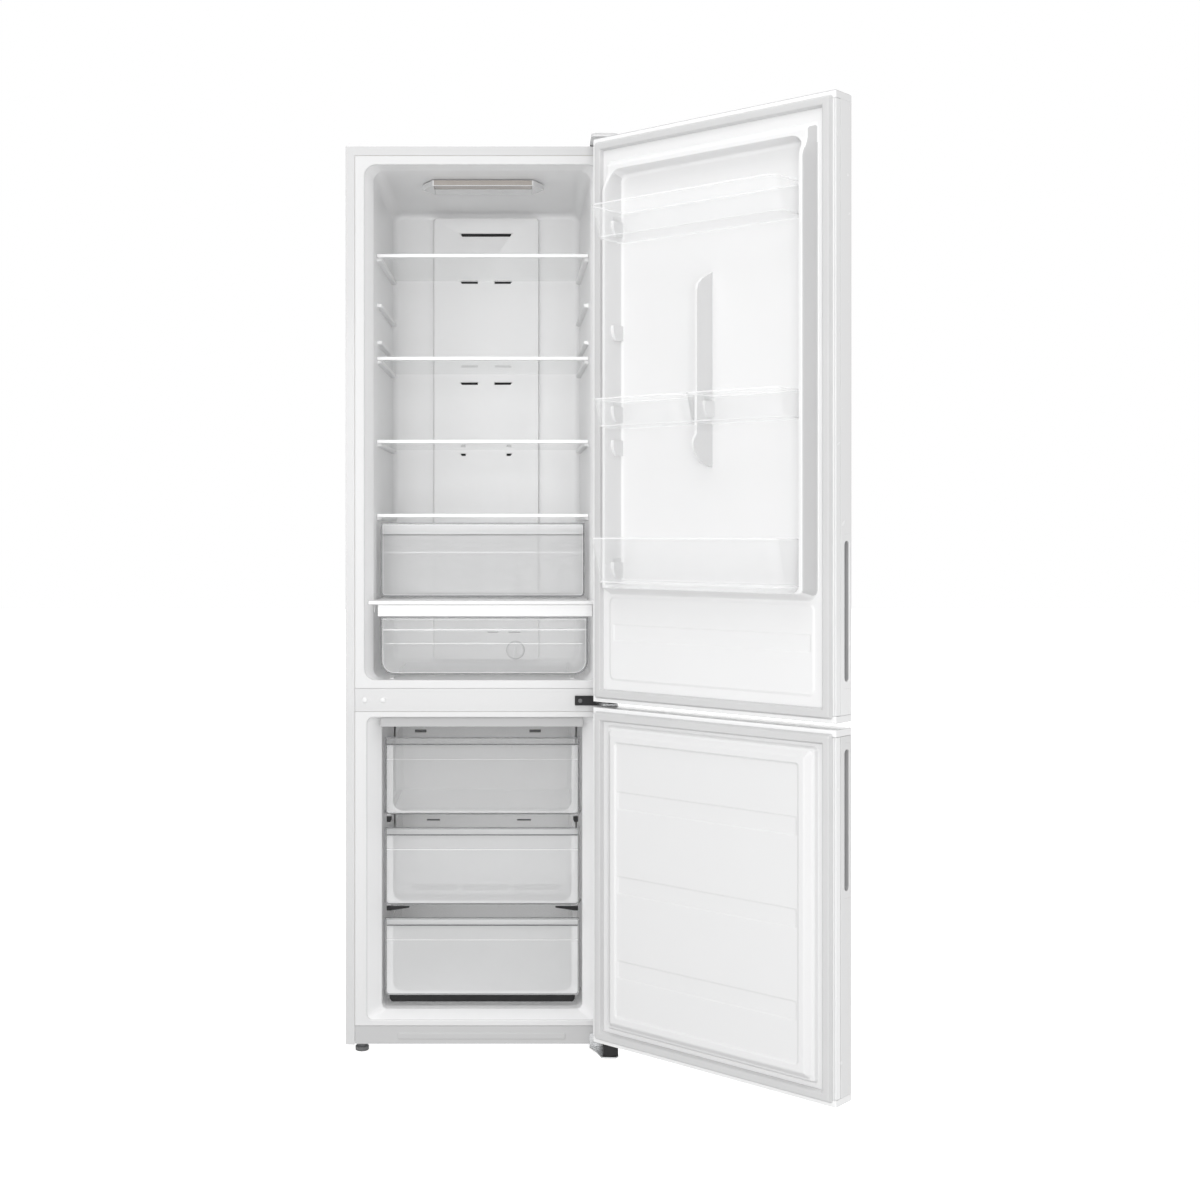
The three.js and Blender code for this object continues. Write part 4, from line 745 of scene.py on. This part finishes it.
# shelves
for i, z in enumerate((1767.6, 1536.4, 1349.2, 1182.6), 1):
    body = f"shelf_{i}"
    b = Build()
    rings = []
    for dz, d in ((-5.8, 0.9), (-5.2, 0.1), (-2.4, 0.1), (-1.8, 0.9)):
        rings.append([(x, y, z + dz) for x, y in rr(-231.4 + d, 231.4 - d, 104.6 + d, 470 - d, [1.5, 1.5, 6, 6], 4)])
    b.loft(rings)
    b.make(f"v_glass_shelf_{i}", body, "shelf_glass", "shelf_glass", [f"glass_shelf_{i}"], smooth=12)
    prof = [(102.0, -6.6), (102.8, -7.5), (118, -7.6), (118, -6.1), (104.2, -6.1), (104.2, -1.5), (118, -1.5), (118, -0.2), (117.4, 0), (104.4, 0), (102.6, -0.6), (102.0, -2.2)]
    b = Build()
    xs = [(-238, 0.7), (-237.6, 0.2), (-236.8, 0), (236.8, 0), (237.6, 0.2), (238, 0.7)]
    b.loft([[(x, y + (k if y < 110 else 0), z + q * (1 - 0.1 * k)) for y, q in prof] for x, k in xs])
    b.make(f"v_shelf_trim_{i}", body, "shelf_white", "abs_white", [f"shelf_trim_{i}"], smooth=35)

# wide shelf over the lower crisper, with its skirt
b = Build()
out = lambda y: 249 - (12 * (y - 9) / 33 if y < 42 else 12 + 6 * (y - 42) / 432)
rings = []
for y, d in ((9, 2.2), (9.6, 0.9), (11, 0.2), (13, 0), (42, 0), (474, 0)):
    w_ = out(y)
    rings.append([(x, y, q) for x, q in rr(-w_ + d * 0.3, w_ - d * 0.3, 982 + d, 991 - d, 1.6, 3)])
b.loft(rings)
b.block(-229, 243, 20, 23.4, 956, 981.2, 1.0)
b.block(-226, 240, 23, 30, 976, 984, 0.8)
wide = b.make("v_crisper_shelf", "cabinet", "trim_white", "abs_white", ["crisper_shelf"], smooth=40)
wide.visible_shadow = False


# ------------------------------------------------------------------ drawers
def drawer(name, body, x0, x1, y0, y1, z0, z1, r, front, ridges, taper=5, w=2.2, lip=None, flange=None):
    """Clear tub behind a clear front plate. front = (x0, x1, y0, y1, z0, z1, corner radius)."""
    def ring(y, d, up=0.0):
        k = 0 if y < (y0 + y1) / 2 else 1
        pts = []
        for x, z in rr(x0 + d, x1 - d, z0 + d, z1 + 40, [max(1, r - d), max(1, r - d), 1, 1], 7):
            zz = min(z, z1)
            t = min(1, max(0, (z1 - zz) / (z1 - z0)))
            s = 1 if x < (x0 + x1) / 2 else -1
            pts.append((x + s * taper * t, y - (taper * t if k else 0), zz))
        return pts
    b = Build()
    # a trough lofted front to back: outer skin, over the rear wall, and back along the inside
    def trough(rings_, b_):
        b_.loft(rings_, cap0=False, cap1=False)
    m = len(ring(y0, 0))
    outer_f, outer_b, inner_f, inner_b = ring(y0, 0), ring(y1, 0), ring(y0 + w, w), ring(y1 - w, w)
    half = m // 4
    # open the outline at the top: the points of the two upper corners are not joined
    order = list(range(2 * (7 + 1) + (7 + 1) - 1, 2 * (7 + 1) + (7 + 1) - 1))
    lower = list(range(3 * 8 - 1, 4 * 8)) + list(range(0, 8 + 1))
    of, ob_, if_, ib = ([q[j] for j in lower] for q in (outer_f, outer_b, inner_f, inner_b))
    n = len(lower)
    verts = of + ob_ + if_ + ib
    F = []
    for j in range(n - 1):
        F.append((j, j + 1, n + j + 1, n + j))                       # outside
        F.append((2 * n + j, 3 * n + j, 3 * n + j + 1, 2 * n + j + 1))   # inside
    F.append((0, n, 3 * n, 2 * n))                                   # left rim
    F.append((n - 1, 2 * n + n - 1, 3 * n + n - 1, n + n - 1))       # right rim
    F.append(tuple(range(n))[::-1])                                  # front wall, outside
    F.append(tuple(2 * n + j for j in range(n)))                     # front wall, inside
    F.append((0, 2 * n, 2 * n + n - 1, n - 1))                       # front wall, rim
    F.append(tuple(n + j for j in range(n)))                         # rear wall, outside
    F.append(tuple(3 * n + j for j in range(n))[::-1])               # rear wall, inside
    F.append((n, n + n - 1, 3 * n + n - 1, 3 * n))                   # rear wall, rim
    b.add(verts, F)
    b.make("v_" + name, body, "clear_tub" if flange else "clear_plastic", "clear_plastic", [name], smooth=40)
    # front plate with soft edges
    fx0, fx1, fy0, fy1, fz0, fz1, fr = front
    b = Build()
    rings = []
    for y, d in ((fy0, 1.0), (fy0 + 0.5, 0.25), (fy0 + 1.2, 0), (fy1 - 0.6, 0), (fy1, 0.5)):
        rings.append([(x, y, z) for x, z in rr(fx0 + d, fx1 - d, fz0 + d, fz1 - d, [fr - d, fr - d, 3, 3], 8)])
    b.loft(rings)
    # the freezer fronts grow more opaque, so lighter, from top to bottom: painted light
    b.make(name + "_front", body, {"upper_crisper": "clear_crisper", "lower_crisper": "clear_low", "freezer_drawer_top": "clear_front", "freezer_drawer_middle": "clear_front_mid_painted_light", "freezer_drawer_bottom": "clear_front_low_painted_light"}[name.replace("_crisper_drawer", "_crisper")], "clear_plastic", smooth=40)
    # the plate's edge, painted dark: painted shade
    b = Build()
    rings = []
    for y, d in ((fy0 + 0.1, 0.45), (fy0 - 0.1, 3.3), (fy1 - 0.2, 3.3), (fy1 - 0.2, -0.05), (fy0 + 0.8, -0.05)):
        rings.append([(x, y, z) for x, z in rr(fx0 + d, fx1 - d, fz0 + d, fz1 - d, [max(1, fr - d), max(1, fr - d), 2, 2], 8)])
    b.loft(rings, closed=True)
    b.make(name + "_front_edge", body, "clear_shade", "clear_plastic", smooth=40)
    if not flange:
        b = Build()
        rings = []
        for y, d in ((fy0 + 0.3, 3.0), (fy0 - 0.2, 4.6), (fy0 + 0.9, 4.6), (fy0 + 0.9, 3.0)):
            rings.append([(x, y, z) for x, z in rr(fx0 + d, fx1 - d, fz0 + d, fz1 - d, [max(1, fr - d), max(1, fr - d), 1, 1], 8)])
        b.loft(rings, closed=True)
        b.make(name + "_front_bead", body, "clear_rim", "clear_plastic", smooth=40)
    # the hazy flange round the sides and the bottom of the plate
    if flange:
        b = Build()
        rings = []
        for y, d in ((fy1 + 0.1, 1.8), (fy1 + 0.1, flange), (fy1 + 1.6, flange), (fy1 + 1.6, 1.8)):
            far = d > 4
            rings.append([(x, y, z) for x, z in rr(fx0 + d, fx1 - d, fz0 + (8 if far else d), fz1 - (17.5 if far else 16), [22, 22, 0.6, 0.6] if far else [fr - 1, fr - 1, 0.6, 0.6], 8)])
        b.loft(rings, closed=True)
        b.make(name + "_front_flange", body, "clear_haze", "clear_plastic", smooth=40)
    # moulded ridges across the front, in nearly opaque white: painted highlight
    b = Build()
    for z, hgt, proud, xa, xb in ridges:
        b.block(xa, xb, fy0 - proud, fy0 + 0.6, z - hgt / 2, z + hgt / 2, 0.5)
    b.make(name + "_front_ridges", body, "clear_line_painted_highlight", "clear_plastic", smooth=50)
    if lip:
        ya, yb, za, zb, xa, xb = lip
        b = Build()
        b.block(xa, xb, ya, yb, za, zb, 0.5)
        # on the freezer drawers and the upper crisper the lip is a dark line of painted shade
        b.make(name + "_lip", body, "clear_shade" if flange or name.startswith("upper") else "clear_haze", "clear_plastic", smooth=50)


for tag, body, z0, z1, y1 in (("top", "freezer_top_drawer", 512.7, 684.7, 398), ("middle", "freezer_middle_drawer", 312, 483.5, 398), ("bottom", "freezer_bottom_drawer", 110.7, 282.7, 362)):
    drawer("freezer_drawer_" + tag, body, -203.5, 203.5, 68, y1, z0 + 0.6, z1 - 14, 16, (-216, 216, 62, 65, z0, z1, 9),
           ((z1 - 49, 1.3, 0.6, -213, 213),), taper=4, lip=(56, 62.4, z1 - 16.4, z1 - 14.8, -212, 212), flange=17)
    if tag == "bottom":
        bpy.data.objects["v_freezer_drawer_bottom"].visible_shadow = True
    b = Build()
    for x0, x1 in ((-214, -200.5), (200.5, 214)):
        b.block(x0, x1, 68, y1 - 8, z0, z0 + 2.4, 0.6)
    b.make(f"freezer_drawer_{tag}_wings", body, "clear_rim", "clear_plastic", smooth=50)
drawer("upper_crisper_drawer", "upper_crisper", -227, 227, 106, 440, 992.2, 1150, 14, (-229, 229, 103, 106.5, 995.5, 1162, 10),
       ((1162 - 66, 1.6, 0.7, -223, 223),), lip=(101.6, 103.2, 1134.4, 1135.8, -225, 225))
b = Build()
b.block(-225.5, 225.5, 102.2, 103.1, 1136.4, 1158.6, 0.4)
b.make("upper_crisper_drawer_band", "upper_crisper", "clear_front", "clear_plastic", smooth=50)
drawer("lower_crisper_drawer", "lower_crisper", -220, 231, 28, 428, 822, 946, 30, (-222.4, 233.4, 25.4, 28.5, 827.8, 954, 30),
       ((896, 1.4, 0.6, -212, 222),), lip=(22.6, 25.8, 924.6, 928.2, -217, 228))

# ------------------------------------------------------------------ the rest of the cabinet
for node, mat, bev in (
    ("outer_case", None, 0.4), ("rear_panel", None, 0.4), ("middle_crossbar", None, 0.5), ("plinth", "plinth_white", 0.6),
    ("base_plate", None, 0.4), ("top_hinge", None, 0.5), ("hinge_hole_cap", "abs_white", 1.4),
    ("middle_hinge", None, 0.6), ("middle_hinge_cover", None, 0.7), ("bottom_hinge", None, 0.7), ("bottom_hinge_bush", None, 1.2),
    ("levelling_foot_left", None, 0.6), ("levelling_foot_right", None, 0.6), ("rear_roller_left", None, 0.8), ("rear_roller_right", None, 0.8),
    ("compressor", None, 1.0), ("compressor_cover", "cover_grey", 0.3), ("mains_inlet", None, 0.6), ("freezer_rear_wall", "liner_white", 0.6),
    ("fan_motor", None, 0.8), ("fan", "abs_white", 0.3), ("lamp_housing", "trim_white", 0.8), ("lamp_lens", None, 0.8), ("chill_dial", "trim_white", 0.8),
    ("evaporator", None, 0.4),
):
    refine(node, mat, bev)
paint("cabinet_insulation")

# the plinth's raised bar has sloping edges
Build().loft([[(x, y, z) for x, z in rr(-181.4 - d, 181.4 + d, 34 - d, 43.9 + d, 2.4 + d, 5)] for y, d in ((0.6, 3.2), (0.1, 3.0), (-0.9, 0.7), (-1.26, 0.0))]).make(
    "plinth_bar", "cabinet", "plinth_white", "abs_white", smooth=40)

# top hinge cover: a rounded cap over the hinge, longer than it is wide
rings = []
for z, d0, d1 in ((1989.2, 1.0, 0), (1990.0, 0.1, 0), (1994, 0.4, 2), (1998.5, 2.2, 6), (2001.2, 5.2, 11), (2002.6, 9.0, 17), (2003.0, 13.5, 24)):
    rings.append([(x, y, z) for x, y in rr(236 + d0, 296.5 - d0, -74 + d1 + d0, 100 - d1 - d0, 9, 8)])
cover = Build().loft(rings).make("v_top_hinge_cover", "cabinet", ["case_white", "liner_white"], "case_white", ["top_hinge_cover"], smooth=60)
# its underside takes the liner's lighter white: painted light in the shade under the cover
for f in cover.data.polygons:
    if f.normal.z < -0.5:
        f.material_index = 1
b = Build()
for y0, y1, x0, x1 in ((0.5, 99.5, 236.6, 238.2), (0.5, 99.5, 294.3, 296), (98, 99.6, 238, 295)):
    b.block(x0, x1, y0, y1, 1985.8, 1990.4, 0.5)
b.make("top_hinge_cover_skirt", "cabinet", "case_white", "case_white", smooth=50)

# dark shapes under the runners and a dark strip under the bottom drawer: painted shadow in the gaps
b = Build()
for sg in (-1, 1):
    for zt, zo, xi, zi in ((505.8, 493, 203, 497), (305.2, 295.5, 163, 301.6)):
        b.loft([[(sg * x, y, z) for x, z in ((214, zt), (214, zo + 1), (213, zo), (206, zo), (xi + 1, zi), (xi, zi + 1.4), (xi, zt))] for y in (77.0, 79.6)])
b.make("freezer_runner_painted_shadow", "cabinet", "black_plastic", "black_plastic", smooth=40)
b = Build()
b.loft([[(x, y, z) for x, z in ((-207, 108.6), (-206, 101), (-203, 96.6), (-199, 95), (199, 95), (203, 96.6), (206, 101), (207, 108.6))] for y in (67.0, 70.0)])
b.make("freezer_drawer_bottom_strip", "freezer_bottom_drawer", "black_plastic", "black_plastic", smooth=40)

# a dark sheet behind the freezer wall's slots: painted shade in the duct
b = Build()
for x0, x1, z0, z1 in ((-172, -144, 652, 659), (107, 135, 652, 659), (-143, -111, 437, 441), (77, 111, 437, 441)):
    b.block(x0 - 3, x1 + 3, 407.4, 408.0, z0 - 3, z1 + 3, 0.1)
b.make("freezer_slot_shadows", "cabinet", "dark_gap", "black_plastic")

# the lamp's diffuser comes round the housing's front edge and ends in a white rim behind
b = Build()
b.block(-111, 111, 121.2, 122.4, 1926.4, 1937.0, 0.4)
b.make("lamp_lens_front", "cabinet", "lamp_lens", "lamp_lens", smooth=40)
b = Build()
b.block(-111.2, 111.2, 166, 217.8, 1925.2, 1926.4, 0.5)
b.make("lamp_rear_rim", "cabinet", "trim_white", "abs_white", smooth=40)

# a dark ring round the dial: painted shade in the gap that the dial turns in
b = Build()
ring = lambda q, y: [(73 + q * math.cos(a * math.pi / 18), y, 847 + q * math.sin(a * math.pi / 18)) for a in range(36)]
b.loft([ring(20.6, 479.8), ring(20.6, 477.6), ring(21.2, 477.0), ring(22.4, 477.0), ring(23.0, 477.6), ring(23.0, 479.8)], closed=True)
b.make("chill_dial_painted_shade_ring", "cabinet", "grip_grey", "grip_grey", smooth=40)

# crossbar plugs: two low domes over the unused screw holes
b = Build()
for x in (-255.6, -215.3):
    rings = []
    for r, y in ((5.9, 0.15), (5.9, -0.5), (5.2, -1.2), (3.6, -1.7), (1.5, -1.95)):
        rings.append([(x + r * math.cos(a * math.pi / 12), y, 774.2 + r * math.sin(a * math.pi / 12)) for a in range(24)])
    b.loft(rings)
b.make("crossbar_screw_plugs", "cabinet", "abs_white", "abs_white", smooth=50)

# screw: the hinge cover's screw
b = Build()


def screw(b_, x, z, y, r=4.0):
    prof = ((r, 0.3), (r, -0.5), (r * 0.82, -1.0), (r * 0.45, -1.15), (r * 0.42, -0.55), (0.15 * r, -0.5))
    b_.loft([[(x + q * math.cos(a * math.pi / 10), y + dy, z + q * math.sin(a * math.pi / 10)) for a in range(20)] for q, dy in prof])


screw(b, 215.6, 767.8 + 5.6, -7.0, 4.6)
b.make("middle_hinge_screw", "cabinet", "foot_grey", "steel", smooth=40)

b = Build()
for z0, z1, r in ((772.9, 775.2, 8.5), (775.6, 779.8, 7.0)):
    ring = lambda q, z: [(HINGE[0] + q * math.cos(a * math.pi / 12), HINGE[1] + q * math.sin(a * math.pi / 12), z) for a in range(24)]
    b.loft([ring(r - 0.4, z0), ring(r, z0 + 0.4), ring(r, z1 - 0.4), ring(r - 0.4, z1), ring(4.7, z1), ring(4.7, z0)], closed=True)
b.make("middle_hinge_washers", "cabinet", "black_plastic", "black_plastic", smooth=40)

# ------------------------------------------------------------------ floor, light, camera
me = bpy.data.meshes.new("floor")
me.from_pydata([(-14, -9, -0.0005), (14, -9, -0.0005), (14, 19, -0.0005), (-14, 19, -0.0005)], [], [(0, 1, 2, 3)])
floor = bpy.data.objects.new("floor", me)
SCENE.collection.objects.link(floor)
floor.visible_diffuse = False
fm = material("pale_floor", (0.93, 0.93, 0.93), 0.6, grain=200, bump=0.02, tint=0.01)
fb = [q for q in fm.node_tree.nodes if q.type == "BSDF_PRINCIPLED"][0]
fb.inputs["Emission Color"].default_value = (1, 1, 1, 1)
fb.inputs["Emission Strength"].default_value = 0.78
me.materials.append(fm)
floor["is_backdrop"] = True


def area(name, at, to, size, power, color=(1, 1, 1)):
    d = bpy.data.lights.new(name, "AREA")
    d.shape, d.size, d.size_y, d.energy, d.color = "RECTANGLE", size[0], size[1], power, color
    o = bpy.data.objects.new(name, d)
    o.location = at
    o.rotation_euler = (Vector(to) - Vector(at)).to_track_quat("-Z", "Y").to_euler()
    SCENE.collection.objects.link(o)
    return o


area("front", (-1.5, -4.9, 2.3), (-0.1, 0.0, 1.0), (2.6, 2.6), 35)
area("lens_side", (-0.2, -5.0, 1.2), (-0.1, 0.0, 1.0), (2.0, 2.0), 56)
area("key", (-2.9, -3.3, 2.2), (0.1, 0.0, 1.0), (2.2, 2.6), 18)
area("fill", (2.6, -3.4, 1.7), (-0.1, 0.0, 1.0), (2.0, 2.4), 10)
area("top", (-0.4, -1.4, 4.4), (-0.1, -0.1, 1.0), (3.2, 3.2), 62)
bounce = area("bounce", (-0.1, -2.0, 0.03), (-0.1, -1.2, 1.4), (3.0, 1.4), 7)
bounce.visible_camera = False
area("rear", (0.4, 4.6, 2.4), (-0.1, 0.3, 1.0), (2.6, 2.6), 70)

w = bpy.data.worlds.new("studio")
SCENE.world = w
w.use_nodes = True
nt = w.node_tree
nt.nodes.clear()
wo = nt.nodes.new("ShaderNodeOutputWorld")
bg, bg2, mx, lp = nt.nodes.new("ShaderNodeBackground"), nt.nodes.new("ShaderNodeBackground"), nt.nodes.new("ShaderNodeMixShader"), nt.nodes.new("ShaderNodeLightPath")
bg.inputs[0].default_value, bg.inputs[1].default_value = (1, 1, 1, 1), 0.56
bg2.inputs[0].default_value, bg2.inputs[1].default_value = (1, 1, 1, 1), 1.0
nt.links.new(lp.outputs["Is Camera Ray"], mx.inputs[0])
nt.links.new(bg.outputs[0], mx.inputs[1])
nt.links.new(bg2.outputs[0], mx.inputs[2])
nt.links.new(mx.outputs[0], wo.inputs[0])
SCENE.view_settings.view_transform = "Standard"
SCENE.view_settings.look = "None"

cam = bpy.data.cameras.new("camera")
cam.sensor_width, cam.lens = 36.0, 48.66
cam.shift_x, cam.shift_y = 0.0667, -0.0613
cam.clip_start, cam.clip_end = 0.05, 60
co = bpy.data.objects.new("camera", cam)
co.location = (-0.1269, -3.5808, 1.154)
co.rotation_euler = (math.radians(90), 0, 0)
SCENE.collection.objects.link(co)
SCENE.camera = co

# ------------------------------------------------------------------ sizes
lo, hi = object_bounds()
